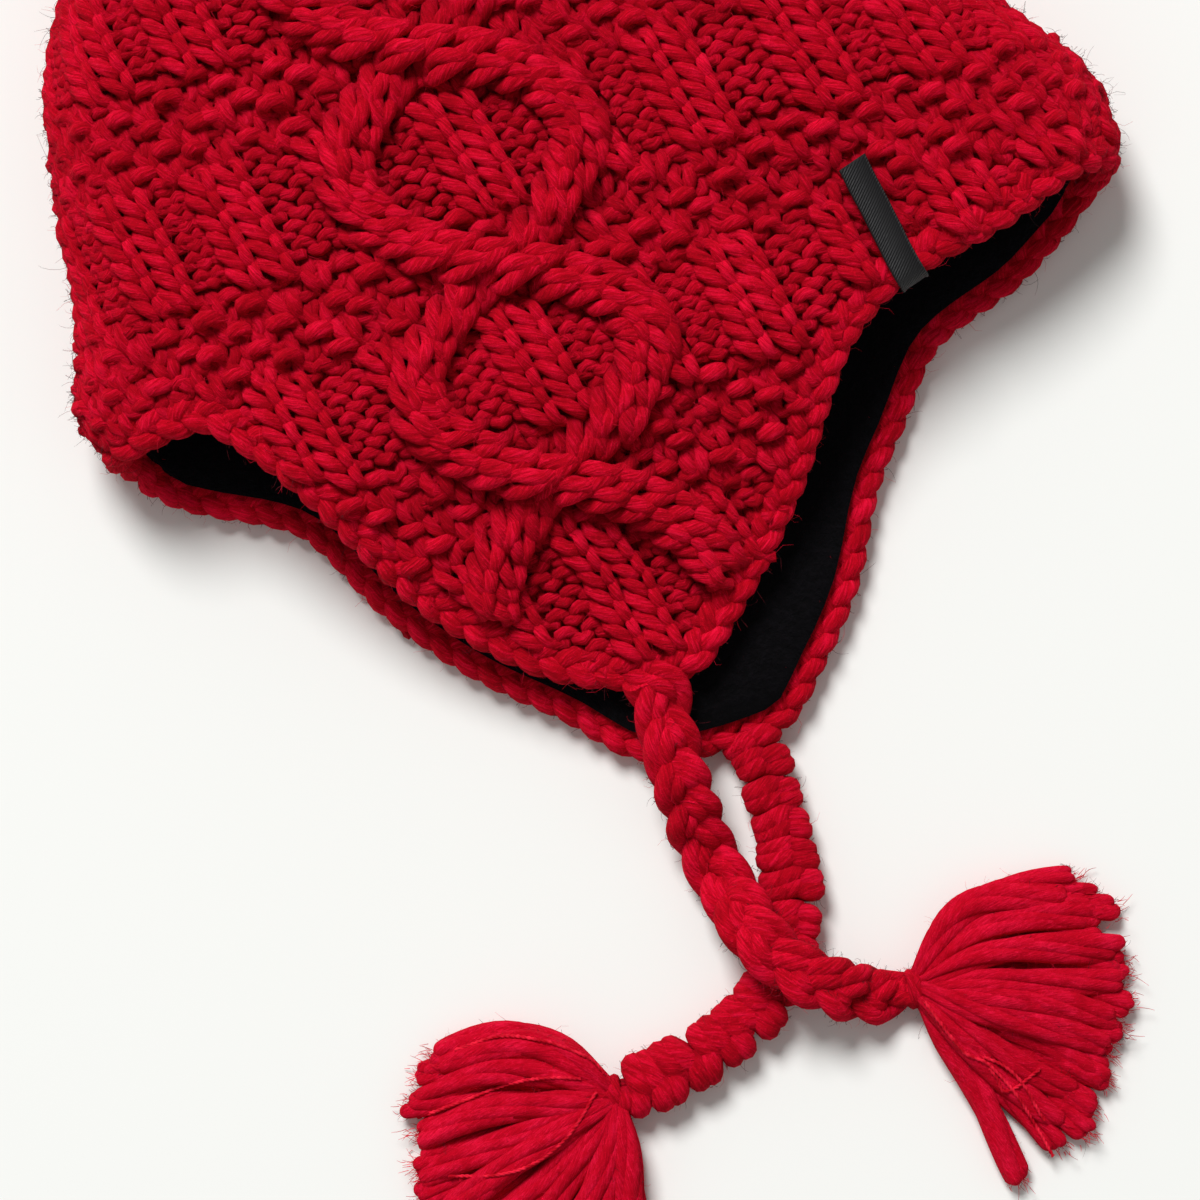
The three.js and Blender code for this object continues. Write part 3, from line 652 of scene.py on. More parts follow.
# %% The surface
def table_curve(x, y):
    """A smooth curve through a table's rows, which never overshoots them."""
    step = np.diff(x)
    rise = np.diff(y) / step
    slope = np.zeros(len(x))
    slope[0], slope[-1] = rise[0], rise[-1]
    for i in range(1, len(x) - 1):
        if rise[i - 1] * rise[i] > 0:
            slope[i] = 2 * rise[i - 1] * rise[i] / (rise[i - 1] + rise[i])
    fine = np.linspace(x[0], x[-1], 2401)
    i = np.clip(np.searchsorted(x, fine) - 1, 0, len(x) - 2)
    t = (fine - x[i]) / step[i]
    value = (2 * t**3 - 3 * t**2 + 1) * y[i] + (3 * t**2 - 2 * t**3) * y[i + 1]
    value += step[i] * ((t**3 - 2 * t**2 + t) * slope[i] + (t**3 - t**2) * slope[i + 1])
    return lambda at: np.interp(at, fine, value)


CROWN = {
    name: table_curve(CROWN_TABLE[:, 0], CROWN_TABLE[:, k])
    for k, name in enumerate(("along", "height", "left", "right", "room", "full"))
    if k
}
UPPER_EDGE = table_curve(*UPPER_EDGE_TABLE.T)
LOWER_EDGE = table_curve(*LOWER_EDGE_TABLE.T)


def loop_point(around, climb):
    """A point of the flattened loop: forehead fold 0-1, upper layer 1-2, nape fold 2-3, lower 3-4."""
    around, climb = np.broadcast_arrays(np.asarray(around, float), np.asarray(climb, float))
    along = np.clip(climb / CROWN_CLIMB, 0, 1)
    left = -FLAT_WIDTH * CROWN["left"](along)
    right = FLAT_WIDTH * CROWN["right"](along)
    room = HEAD_ROOM * CROWN["room"](along)
    full = CROWN["full"](along)
    high = (WALL + room / 2) * full
    middle = (left + right) / 2
    half = np.maximum(0.02, (right - left) / 2)
    bend = np.minimum(half, high)
    flat = half - bend
    lift = WALL + HEAD_ROOM / 2 * np.minimum(1.2, room / HEAD_ROOM) - 2.5 * smooth((along - 0.7) / 0.3)
    centre = np.maximum(high, np.minimum(lift, high + 40 * np.clip(1 - full, 0, 1)))
    a = np.mod(around, 4)
    side = np.floor(a)
    f = a - side
    fold = side % 2 == 0
    sign = np.where(side < 2, 1.0, -1.0)
    t = (f - 0.5) * math.pi + np.where(side < 1, 0.0, math.pi)
    x = np.where(fold, middle + sign * flat + bend * np.cos(t), middle + sign * flat * (1 - 2 * f))
    z = np.where(fold, high * np.sin(t), sign * high)
    turn = np.where(fold, side * 90 - 30 + 60 * f, side * 90 - 60 + 120 * f)
    turn = np.radians(turn)
    shape = smooth((along - 0.72) / 0.26)
    x = x * (1 - shape) + (middle + half * np.cos(turn)) * shape
    z = z * (1 - shape) + high * np.sin(turn) * shape
    above = np.clip(z / np.maximum(high, 0.01), 0, 1)
    s = np.clip(np.abs(x - middle) / half, 0, 1)
    arch = ARCH_RISE * (1 - s * s) * above * (1 - smooth((along - 0.6) / 0.4))
    fall = smooth((-climb - 10) / (0.72 * UPPER_FLAP))
    sag = (HEAD_ROOM - FLAP_REST_GAP + ARCH_RISE * (1 - s * s)) * fall * above
    y = np.where(climb < 0, climb, CROWN_HEIGHT * CROWN["height"](along))
    return np.stack([x, y, centre + z + arch - sag], -1)


# %% [markdown]
# ## Places on the fabric
# A knitter counts stitches across and rows up. The fabric's own places are measured
# the same way: s in mm across from the middle of the cable panel, and v in mm up
# from the mouth. A grid of points and normals, made once, turns s and v into a
# place in the scene. Where the crown narrows, the columns draw together.

# %% The grid of places
PANEL_X = -18.0  # middle of the cable panel


def panel_line(climb):
    """Where s = 0 lies, which wanders to the middle of the crown."""
    share = smooth((climb - 88) / 75)
    along = np.clip(climb / CROWN_CLIMB, 0, 1)
    middle = FLAT_WIDTH * (CROWN["right"](along) - CROWN["left"](along)) / 2
    return PANEL_X * (1 - share) + middle * share


def column_grid():
    climbs = np.concatenate([np.arange(-116.0, 0, 4), np.linspace(0, CROWN_CLIMB * 0.999, 96)])
    sweep = np.linspace(3.5, -0.5, 1601)
    sides = []
    arounds = []
    for climb in climbs:
        points = loop_point(sweep, max(climb, 0.0))
        length = distance_along(points)
        upper = (sweep > 1) & (sweep < 2) if climb < 150 else points[:, 2] > points[:, 2].mean()
        start = np.interp(panel_line(climb), points[upper, 0], length[upper])
        arounds.append((length, start))
        sides.append((start, length[-1] - start))
    left, right = sides[0]
    columns = np.arange(-math.floor(left), math.floor(right) + 1.0)
    table = np.empty((len(columns), len(climbs)))
    for j, climb in enumerate(climbs):
        length, start = arounds[j]
        keep = 1 - smooth((climb - 70) / 60)
        places = np.empty(len(columns))
        for sign, whole, now in ((-1, left, sides[j][0]), (1, right, sides[j][1])):
            part = columns * sign >= 0
            share = np.abs(columns[part]) / whole
            pull = 1 + min(0.42, whole / now - 1) * keep
            places[part] = start + sign * now * share * (pull - (pull - 1) * share**2)
        table[:, j] = np.interp(places, length, sweep)
    return climbs, columns, table, left, right


CLIMBS, COLUMNS, AROUND, LEFT_SIDE, RIGHT_SIDE = column_grid()
PLACES = loop_point(AROUND, CLIMBS[None, :])
across_step = np.gradient(PLACES, axis=0)
up_step = np.gradient(PLACES, axis=1)
NORMALS = np.cross(across_step, up_step)
size = np.linalg.norm(NORMALS, axis=-1, keepdims=True)
NORMALS = np.where(size > 1e-6, NORMALS / np.maximum(size, 1e-9), [0.0, 1.0, 0.0])
UPS = distance_along(PLACES[int(-COLUMNS[0])])  # the column through s = 0
UPS -= np.interp(0.0, CLIMBS, UPS)
TOP_V = UPS[-1]
print(f"loop {LEFT_SIDE + RIGHT_SIDE:.0f} mm round, {TOP_V:.0f} mm up to the gathered top")


def on_hat(s, v, height):
    """Points at s across, v up and a height above the outer face of the fabric."""
    i = np.clip(s - COLUMNS[0], 0, len(COLUMNS) - 1.001)
    j = np.clip(np.interp(v, UPS, np.arange(len(UPS))), 0, len(UPS) - 1.001)
    i0, j0 = i.astype(int), j.astype(int)
    a, b = (i - i0)[..., None], (j - j0)[..., None]
    result = []
    for grid in (PLACES, NORMALS):
        low = grid[i0, j0] * (1 - a) + grid[i0 + 1, j0] * a
        high = grid[i0, j0 + 1] * (1 - a) + grid[i0 + 1, j0 + 1] * a
        result.append(low * (1 - b) + high * b)
    place, normal = result
    normal /= np.linalg.norm(normal, axis=-1, keepdims=True)
    return place + normal * np.asarray(height)[..., None]


# %% The edge of the fabric
def edge_of(s):
    """How far up the fabric's edge lies at each place across."""
    around = np.mod(np.interp(s, COLUMNS, AROUND[:, 0]), 4)
    x = loop_point(around, 0.0)[..., 0] / FLAT_WIDTH
    up = -UPPER_FLAP * UPPER_EDGE(x)
    low = -LOWER_FLAP * LOWER_EDGE(x)
    share = np.where(around < 1, smooth((around - 0.35) / 0.65), 0.0)
    share = np.where((around >= 1) & (around < 2), 1.0, share)
    share = np.where((around >= 2) & (around < 3), smooth((2.65 - around) / 0.65), share)
    return up * share + low * (1 - share)


EDGE_S = np.arange(COLUMNS[0], COLUMNS[-1] + 0.01, 0.5)
EDGE_V = edge_of(EDGE_S)


def set_back(distance):
    """The edge moved into the fabric by a distance, as a line over EDGE_S."""
    gap = np.abs(EDGE_S[:, None] - EDGE_S[None, :])
    loop = EDGE_S[-1] - EDGE_S[0]
    gap = np.minimum(gap, loop - gap)
    reach = np.sqrt(np.maximum(distance**2 - gap**2, 0))
    return np.where(gap <= distance, EDGE_V[None, :] + reach, -1e9).max(axis=1)


KNIT_EDGE = set_back(EDGING_WIDTH / 2 + 1.2)
print(f"edge from {EDGE_V.min():.0f} to {EDGE_V.max():.0f} mm")

# %% [markdown]
# ## The stitches
# Each row of knitting is one long yarn that makes a loop for every stitch. A loop
# leans forward of the fabric at its legs for a knit stitch, and at its head for a
# purl stitch. The chart has bands of short ribs, two knit and two purl, and bands
# of moss stitch, where knit and purl alternate like a chessboard. The formula for
# one loop, repeated with the chart's numbers, draws the whole fabric.

# %% The chart
ROW = 4.5
YARN = 1.58  # radius
ROW_DEPTH = 2.7  # how deep the middle of a row lies under the outer face
LOOP_REACH = 3.7  # how far a loop reaches up and down from its row
LOOP_LEAN = 1.9  # how far a loop leans out at its legs or at its head
PLAIN_FROM = 118  # above it every stitch is a plain knit stitch
HALF_FROM = 128  # above it one stitch stands for two
QUARTER_FROM = 162  # above it one stitch stands for four
PANEL_TO = 150  # the ropes press the rows down below it
KNIT_WALE = 7.8  # width of a knit column in the ribs
CROSSINGS = np.array([-155.0, -102.0, -35.9, 13.4, 64.2, 113.5, 163.0, 213.0])
PANEL_BEND = np.array([0.0, 0.5, -1.9, 0.3, -2.5, -1.0, 0.0, 0.0])
# wales from the middle of the panel, and where the rib pairs lie in mm
WALE_PLACES = np.array([-38, -16, -12, -8, -4, 0, 4, 8, 12, 16, 46], float)
WALE_S = np.array([-LEFT_SIDE, -101, -77, -54, -27, 0, 25, 50, 79, 104, RIGHT_SIDE])


def share_up(v):
    return np.interp(v, CROSSINGS, np.arange(len(CROSSINGS))) % 1.0


def rib_weight(v):
    """1 in the middle of a band of ribs, 0 in the moss stitch."""
    return smooth((0.31 - np.abs(share_up(v) - 0.5)) / 0.06)


def lean(v):
    """Ribs drift to the left as they go up, and come back in the moss."""
    up = share_up(v) - 0.5
    flap = 3.8 * smooth((-44 - v) / 22)
    back = np.sign(up) * (-2.85 + (np.abs(up) - 0.3) * 14.25)
    return flap + np.where(np.abs(up) < 0.3, -9.5 * up, back)


def wale_s(u, v):
    """Place across of a wale number, at a height."""
    local = np.mod(u + 2, 4) - 2
    middle = np.interp(u - local, WALE_PLACES, WALE_S)
    even = np.interp(u, WALE_PLACES, WALE_S)
    border = np.interp(u - local + 2 * np.sign(local), WALE_PLACES, WALE_S)
    beyond = (border - middle - np.sign(local) * KNIT_WALE) * (np.abs(local) - 1)
    outer = np.sign(local) * KNIT_WALE + beyond
    wide = middle + np.where(np.abs(local) < 1, local * KNIT_WALE, outer)
    return even + (wide - even) * rib_weight(v) + lean(v)


def rope_s(v, sign):
    """Middle of a rope across, before it draws together at the crown."""
    phase = math.pi * np.interp(v, CROSSINGS, np.arange(len(CROSSINGS)))
    swing = np.sin(phase)
    narrow = 1 - smooth((v - 95) / 70)
    spread = 26.5 * np.sign(swing) * np.abs(swing) ** 0.85 * (0.35 + 0.65 * narrow)
    return np.interp(v, CROSSINGS, PANEL_BEND) + sign * spread


LABEL_S = 0.275 * FLAT_WIDTH - PANEL_X
LABEL_TILT = 0.25
LABEL_UP = 31  # how far up the fabric the label presses the rows down
LABEL_V = float(np.interp(LABEL_S, EDGE_S, KNIT_EDGE))

# %% The rows
rng = np.random.default_rng(7)


def fold_share(around):
    """1 on the round folds at both sides, 0 on the flat layers."""
    part = np.mod(around, 2)
    return smooth(np.minimum(part, 1 - part) / 0.3) * (part < 1)


def row_plan(v_row, row):
    """For every stitch of a row: its middle, width, kind and rise, and if it shows."""
    skip = 1 if v_row < HALF_FROM else 2 if v_row < QUARTER_FROM else 4
    wales = np.arange(-38, 46, skip)
    left = wale_s(wales, v_row)
    right = wale_s(wales + skip, v_row)
    centre = (left + right) / 2
    chessboard = np.where(np.mod(wales + row, 2) < 1, 1.0, -1.0)
    rib = 0.0
    kind = np.ones(len(wales))
    rise = np.zeros(len(wales))
    if v_row < PLAIN_FROM:
        rib = rib_weight(v_row)
        pair = np.mod(wales + 1, 4) < 2
        kind = np.where(pair, 1.0, -1.0) * (rib > 0.5) + chessboard * (rib <= 0.5)
        rise = np.where(pair, 1.5, -0.6) * rib + np.where(kind > 0, -0.9, 0.7) * (1 - rib)
    gap = np.min([np.abs(centre - rope_s(v_row, sign)) for sign in (-1, 1)], axis=0)
    on_panel = v_row < PANEL_TO
    rise = rise - 1.3 * smooth((11 - gap) / 5) * on_panel
    beside = np.abs(centre - LABEL_S + LABEL_TILT * (v_row - LABEL_V))
    under_label = smooth((9.5 - beside) / 5) * float(v_row < LABEL_V + LABEL_UP)
    kind = np.where(under_label > 0.3, chessboard, kind)
    rise = rise * (1 - under_label) - 1.9 * under_label
    limit = np.interp(centre, EDGE_S, KNIT_EDGE) + 1.0
    shown = (v_row > limit) & ~((gap < 4.6) & on_panel)
    return centre, right - left, kind, rise, shown, rib


def row_lines(v_row, row, near, samples):
    """The yarn of one row: lines of places across, up and above, with a thickness."""
    centre, width, kind, rise, shown, rib = row_plan(v_row, row)
    around = np.interp(centre, COLUMNS, AROUND[:, np.searchsorted(UPS, v_row)])
    upper = (around > 0.42) & (around < 2.58)
    shown &= upper if near else ~upper
    t = np.linspace(-math.pi, math.pi, samples + 1)
    blend = smooth((np.abs(t) - 0.5 * math.pi) / (0.5 * math.pi)) / 2
    calm = 1 - 0.6 * fold_share(around)
    knot = rng.normal(0, 1, (len(centre), 5))
    lines = []
    run = []
    for k in range(len(centre)):
        if not shown[k]:
            if run:
                lines.append(np.vstack(run))
            run = []
            continue
        other = np.where(t < 0, max(k - 1, 0), min(k + 1, len(centre) - 1))
        face = kind[k] * (1 - blend) + kind[other] * blend
        lift = rise[k] * (1 - blend) + rise[other] * blend
        loose = 0.5 + 0.5 * np.cos(t)
        ribbed = rib > 0.3 and kind[k] > 0
        moss_bump = (1 - rib) * float(kind[k] < 0) * float(v_row < PLAIN_FROM)
        bead = moss_bump * np.clip(np.cos(t), 0, 1) ** 2
        slant = 4.2 if ribbed else 1.4 + 1.3 * knot[k, 3] * moss_bump
        swell = 0.21 if ribbed else 0.18
        rough = (1.05 - 0.75 * rib) * calm[k]
        s = centre[k] + width[k] * (t / (2 * math.pi) + swell * np.sin(2 * t))
        s = s - slant / 2 * np.cos(t) - 0.2 * ribbed * np.sin(t) + knot[k, 0] * rough * loose
        v = v_row + LOOP_REACH * np.cos(t) - 1.1 * bead + knot[k, 1] * rough * loose
        z = -ROW_DEPTH + 1.5 * (1 - calm[k]) + lift * calm[k]
        z = z - LOOP_LEAN * np.cos(2 * t) * face * calm[k]
        z = z - 0.3 * bead + knot[k, 2] * rough * loose
        fat = 0.9 + (0.16 - 0.14 * ribbed * (t > 0)) * np.abs(np.sin(t)) ** 1.5
        fat = fat + bead * (0.24 + 0.08 * knot[k, 4])
        part = np.stack([s, v, z, fat], 1)
        run.append(part if not run else part[1:])
    if run:
        lines.append(np.vstack(run))
    return lines


SHORTEST = 6  # points; a shorter end of a row is left out


def knit(name, rows, near, samples, sides):
    """One piece of fabric, on the upper side or the under side, row by row."""
    lines = []
    for row in rows:
        v_row = row * ROW + 0.4
        if v_row > TOP_V - 5:
            continue
        lines += [line for line in row_lines(v_row, row, near, samples) if len(line) > SHORTEST]
    placed = [on_hat(line[:, 0], line[:, 1], line[:, 2]) for line in lines]
    thick = [YARN * line[:, 3] * (1 + 0.05 * rng.normal()) for line in lines]
    # painted shade: the yarn's height in the fabric is its level, so yarn that lies deeper is drawn
    # darker
    level = [line[:, 2] for line in lines]
    obj = strands(name, placed, thick, rng.random(len(lines)), KNIT_YARN, sides, level)
    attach(obj, "root")
    return obj


ALL_ROWS = range(-24, int(TOP_V / ROW) + 1)
FIRST_HIGH_ROW = 8  # the upper side is made in two pieces, to keep each one small
low_rows = [row for row in ALL_ROWS if row < FIRST_HIGH_ROW]
high_rows = [row for row in ALL_ROWS if row >= FIRST_HIGH_ROW]
flap_stitches = knit("flap_stitches", low_rows, True, 12, 7)
crown_stitches = knit("crown_stitches", high_rows, True, 12, 7)
knit("under_stitches", ALL_ROWS, False, 6, 4)

# %% [markdown]
# ## The ropes
# Each of the crossed ropes is two columns of knit stitches, pulled out of the fabric
# by the crossing, so the loops are longer and stand higher. They are laid along a
# waving line with the same loop formula. At each crossing the rope that runs
# from upper left to lower right passes over the other.

# %% Loops along a line
ROPE_ROW = 4.5
ROPE_WALE = 6.0
ROPE_FROM = -95
ROPE_TO = 156
ROPE_LEAN = 1.8
LEFT_LEAN = math.tan(math.radians(44))  # how far the left side of a loop leans
ROPE_TURN = np.linspace(-math.pi, math.pi, 15)


def rope_loop(place, wide, high):
    """One knit loop along a rope: places along it, across it and above it."""
    t = ROPE_TURN
    half_lean = LEFT_LEAN / 2 * high
    swell = (wide / (2 * math.pi) + half_lean) / 2
    across = wide * t / (2 * math.pi) + swell * np.sin(2 * t) - half_lean * np.cos(t)
    return place + high * np.cos(t), across, -ROPE_LEAN * np.cos(2 * t)


def rope_columns(sign):
    """The loops of one rope, two columns side by side, with levels and thicknesses."""
    v = np.linspace(ROPE_FROM - 3, ROPE_TO + 2, 1640)
    s = rope_s(v, sign)
    step = np.hypot(np.diff(s), np.diff(v))
    length = np.concatenate([[0], np.cumsum(step)])
    slope_s = np.gradient(s, length)
    slope_v = np.gradient(v, length)
    lines, levels, fats = [], [], []
    for side in (-1, 1):
        for row_v in np.arange(ROPE_FROM + 1.1 * side, ROPE_TO, ROPE_ROW):
            place = np.interp(row_v, v, length)
            pitch = min(8.0, ROPE_ROW / max(0.3, np.interp(place, length, slope_v)))
            stretch = (pitch - ROPE_ROW) / 3.5
            wide = ROPE_WALE * (1 - 0.28 * stretch) * (1 + 0.06 * rng.normal())
            high = (0.58 * pitch + 1.1) * (1 + 0.07 * rng.normal())
            a, b, z = rope_loop(place + rng.normal(0, 0.5), wide, high)
            b = b + side * wide * 0.48 + rng.normal(0, 0.4)
            a = np.clip(a, 0, length[-1])
            ps = np.interp(a, length, s) + b * np.interp(a, length, slope_v)
            pv = np.interp(a, length, v) - b * np.interp(a, length, slope_s)
            phase = np.interp(row_v, CROSSINGS, np.arange(len(CROSSINGS)))
            nearest = np.round(phase)
            close = 1 - smooth((np.abs(phase - nearest) - 0.05) / 0.16)
            over = 1 if (nearest % 2 == 0) == (sign < 0) else -1
            dome = 2.0 * (1 - (b / 6.4) ** 2) - 0.5 * side
            z = z - 0.9 + np.maximum(dome, -1.5) + close * (1.7 * over - 0.1) + rng.normal(0, 0.3)
            if pv.min() > np.interp(ps[len(ps) // 2], EDGE_S, KNIT_EDGE) + 3:
                lines.append(on_hat(ps, pv, z))
                # painted shade: the level follows each loop's height, so loops that dip are drawn darker
                levels.append(1.25 * z - 2.9)
                bulge = np.abs(np.sin(ROPE_TURN)) ** 1.4
                fats.append((1.4 + (0.35 + 0.35 * stretch) * bulge) * (1 + 0.05 * rng.normal()))
    return lines, levels, fats


left_rope = rope_columns(-1)
right_rope = rope_columns(1)
rope_lines, rope_levels, rope_fats = (a + b for a, b in zip(left_rope, right_rope))
ropes = strands(
    "crossed_ropes",
    rope_lines,
    thick=rope_fats,
    shade=rng.random(len(rope_lines)),
    finish=KNIT_YARN,
    sides=8,
    level=rope_levels,
)
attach(ropes, "root")

# %% [markdown]
# ## The edging
# A chain of stitches runs right round the rim and looks like a flat plait from both
# sides. It is a three-strand plait along the edge, tilted with the fabric.

# %% The plait round the rim
RIM_YARN = 2.35
RIM_SPACING = 6.3
RIM_STEP = 1.45
RIM_SWING = 2.5
RIM_DIP = 1.7


def rim_plait():
    """Three strands round the whole edge, as one closed plait."""
    line_v = set_back(EDGING_WIDTH / 2)
    centre = on_hat(EDGE_S, line_v, np.full(len(EDGE_S), -WALL / 2 + 0.3))
    length = distance_along(centre)
    whole = length[-1] + np.linalg.norm(centre[0] - centre[-1])
    at = np.linspace(0, length[-1], int(whole / RIM_STEP))
    s = np.interp(at, length, EDGE_S)
    v = np.interp(at, length, line_v)
    heading = np.stack([np.gradient(s), np.gradient(v)], 1)
    heading /= np.linalg.norm(heading, axis=1, keepdims=True)
    kernel = np.ones(5) / 5
    inward_s = np.convolve(np.pad(-heading[:, 1], 2, mode="wrap"), kernel, "valid")
    inward_v = np.convolve(np.pad(heading[:, 0], 2, mode="wrap"), kernel, "valid")
    spacing = whole / round(whole / RIM_SPACING)
    lines = []
    for strand in range(3):
        angle = 2 * math.pi * (at / (3 * spacing) + strand / 3)
        b = RIM_SWING * np.sin(angle) + 0.2
        h = RIM_DIP * np.sin(2 * angle)
        lines.append(on_hat(s + b * inward_s, v + b * inward_v, -WALL / 2 + 0.4 + h))
    return lines


rim_lines = rim_plait()
rim = strands("rim_plait", rim_lines, [RIM_YARN] * 3, [0.2, 0.5, 0.8], KNIT_YARN, 9)
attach(rim, "root")
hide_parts("rim_edging")

# %% [markdown]
# ## The cloth behind the stitches
# Between the loops the eye meets more yarn, in shadow. A plain closed shell under
# the stitches stands for it, in a darker red that paints that shadow. The fleece
# lining is a second shell inside the first, with a short nap, and its edge stops a
# little short of the edging.

# %% Shells of cloth
def faced_piece(name, points, faces, finish, flat=0):
    """A mesh of faces in an object: points in mm, all smooth but the first few faces."""
    mesh = bpy.data.meshes.new(name)
    mesh.from_pydata(row_frame(points).tolist(), [], faces)
    mesh.materials.append(finish)
    mesh.polygons.foreach_set("use_smooth", [False] * flat + [True] * (len(faces) - flat))
    mesh.update()
    obj = add_object(name, mesh)
    print(f"{name}: {triangles(obj)} triangles")
    return obj


def shell(name, outside, inside, first, finish, columns=4, rows=34):
    """A closed wall of cloth between two depths, which starts a distance in from the edge."""
    s = COLUMNS[::columns]
    start = np.interp(s, EDGE_S, set_back(first))
    share = np.linspace(0, 1, rows)
    v = start[:, None] + (TOP_V - 0.5 - start[:, None]) * share[None, :]
    grids = [
        on_hat(np.broadcast_to(s[:, None], v.shape), v, np.full(v.shape, -depth))
        for depth in (outside, inside)
    ]
    count, wide = v.shape
    points = np.concatenate([grid.reshape(-1, 3) for grid in grids])
    faces = []
    half = count * wide
    for i in range(count):
        n = (i + 1) % count
        for j in range(wide - 1):
            a, b, c, d = i * wide + j, n * wide + j, n * wide + j + 1, i * wide + j + 1
            faces.append((a, b, c, d))
            faces.append((half + a, half + d, half + c, half + b))
        faces.append((i * wide, half + i * wide, half + n * wide, n * wide))
        top, below = i * wide + wide - 1, n * wide + wide - 1
        faces.append((top, below, half + below, half + top))
    obj = faced_piece(name, points, faces, finish)
    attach(obj, "root")
    return obj


def cloth_material(name, dark, light, scale, depth, sheen, tint):
    values = {
        "Roughness": 0.95,
        "Specular IOR Level": 0.1,
        "Sheen Weight": sheen,
        "Sheen Roughness": 0.5,
        "Sheen Tint": (*tint, 1),
    }
    material, tree, shader = start_material(name, values)
    noise = object_noise(tree, scale, 5.0, 0.7)
    colour = colour_ramp(tree, noise, [(0.35, dark), (0.7, light)])
    paint(tree, shader, colour, noise, depth, 0.9)
    return material


# the shell stands for real yarn behind the loops; its reds, darker than the yarn's, are painted shade
BACKING = cloth_material(
    "shaded_yarn",
    dark=(0.34, 0.0, 0.006),
    light=(0.56, 0.0, 0.016),
    scale=600,
    depth=0.0008,
    sheen=0.0,
    tint=(1, 0.1, 0.1),
)
FLEECE = cloth_material(
    "black_fleece",
    dark=(0.0003, 0.0002, 0.0003),
    light=(0.0035, 0.0025, 0.0038),
    scale=430,
    depth=0.004,
    sheen=0.02,
    tint=(0.5, 0.5, 0.7),
)
BACKING_DEPTHS = (4.3, 6.9)
BACKING_START = EDGING_WIDTH / 2 + 1.0
LINING_DEPTHS = (KNIT_THICKNESS + 0.3, WALL)
LINING_START = EDGING_WIDTH / 2 + 1.75
backing = shell("knit_backing", *BACKING_DEPTHS, BACKING_START, BACKING)
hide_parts("knit_shell")
lining = shell("fleece_pile", *LINING_DEPTHS, LINING_START, FLEECE)
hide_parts("fleece_lining")

# %% [markdown]
# ## The tassels
# A tassel is a bunch of cut yarns, tied at the waist with a few turns of the same
# yarn. The yarns fan out over the table. Each one is drawn as four thin plies that
# twist slowly round its middle, which gives the long grooves of soft yarn.

# %% Locks of the tassels
# turn in degrees from +X, reach as a share of the length, sway, height above the table
TASSEL_LENGTH = 50.0
NEAR_LOCKS = [
    (16, 0.9, 0.16, 0.0), (9, 0.93, 0.13, 0.0), (3, 1.0, 0.1, 0.0), (-4, 0.9, 0.07, 0.0),
    (-12, 0.99, 0.04, 0.0), (-21, 1.01, 0.02, 0.0), (-29, 0.98, 0.01, 0.0), (-36, 0.96, 0.0, 0.0),
    (-43, 0.98, -0.01, 0.0), (-51, 1.0, -0.02, 0.0), (-57, 1.04, -0.02, 0.0),
    (-64, 1.0, -0.02, 0.0), (-77, 1.0, 0.02, 0.0), (13, 0.82, 0.18, 4.0), (4, 0.9, 0.13, 4.6),
    (-7, 0.94, 0.08, 4.8), (-16, 0.96, 0.03, 4.8), (-25, 0.94, 0.03, 4.7), (-33, 0.92, -0.02, 4.6),
    (-41, 0.96, 0.01, 4.4), (-49, 0.9, -0.04, 4.2), (-58, 0.93, -0.02, 3.6),
]
FAR_LOCKS = [
    (151, 0.87, -0.15, 0.0), (158, 0.92, -0.12, 0.0), (166, 0.96, -0.06, 0.0),
    (174, 0.93, -0.04, 0.0), (182, 0.98, -0.02, 0.0), (191, 1.03, 0.0, 0.0), (200, 1.05, 0.02, 0.0),
    (209, 1.03, 0.03, 0.0), (218, 1.0, 0.03, 0.0), (227, 1.0, 0.03, 0.0), (236, 1.02, 0.04, 0.0),
    (245, 0.98, 0.05, 0.0), (254, 0.95, 0.06, 0.0), (154, 0.84, -0.17, 4.0), (164, 0.9, -0.11, 4.6),
    (175, 0.92, -0.05, 4.8), (186, 0.97, 0.01, 4.8), (196, 0.94, -0.01, 4.7),
    (207, 0.98, 0.04, 4.6), (218, 0.94, 0.02, 4.5), (229, 0.96, 0.06, 4.4), (239, 0.92, 0.04, 4.0),
    (249, 0.92, 0.07, 3.6),
]
PLY_RADIUS = 1.92
FRAYS = 22  # fibres at the cut end of each lock
UP = np.array([0.0, 0.0, 1.0])
TIPS = []  # loose fibres at the cut ends
LOCK_POINTS = []  # places on the locks with their radius, to lay threads on


def level_end(line):
    """Which way the end of a line runs, on the level, and the side of that."""
    heading = line[-1] - line[-2]
    heading[2] = 0
    heading /= np.linalg.norm(heading)
    return heading, np.array([-heading[1], heading[0], 0.0])


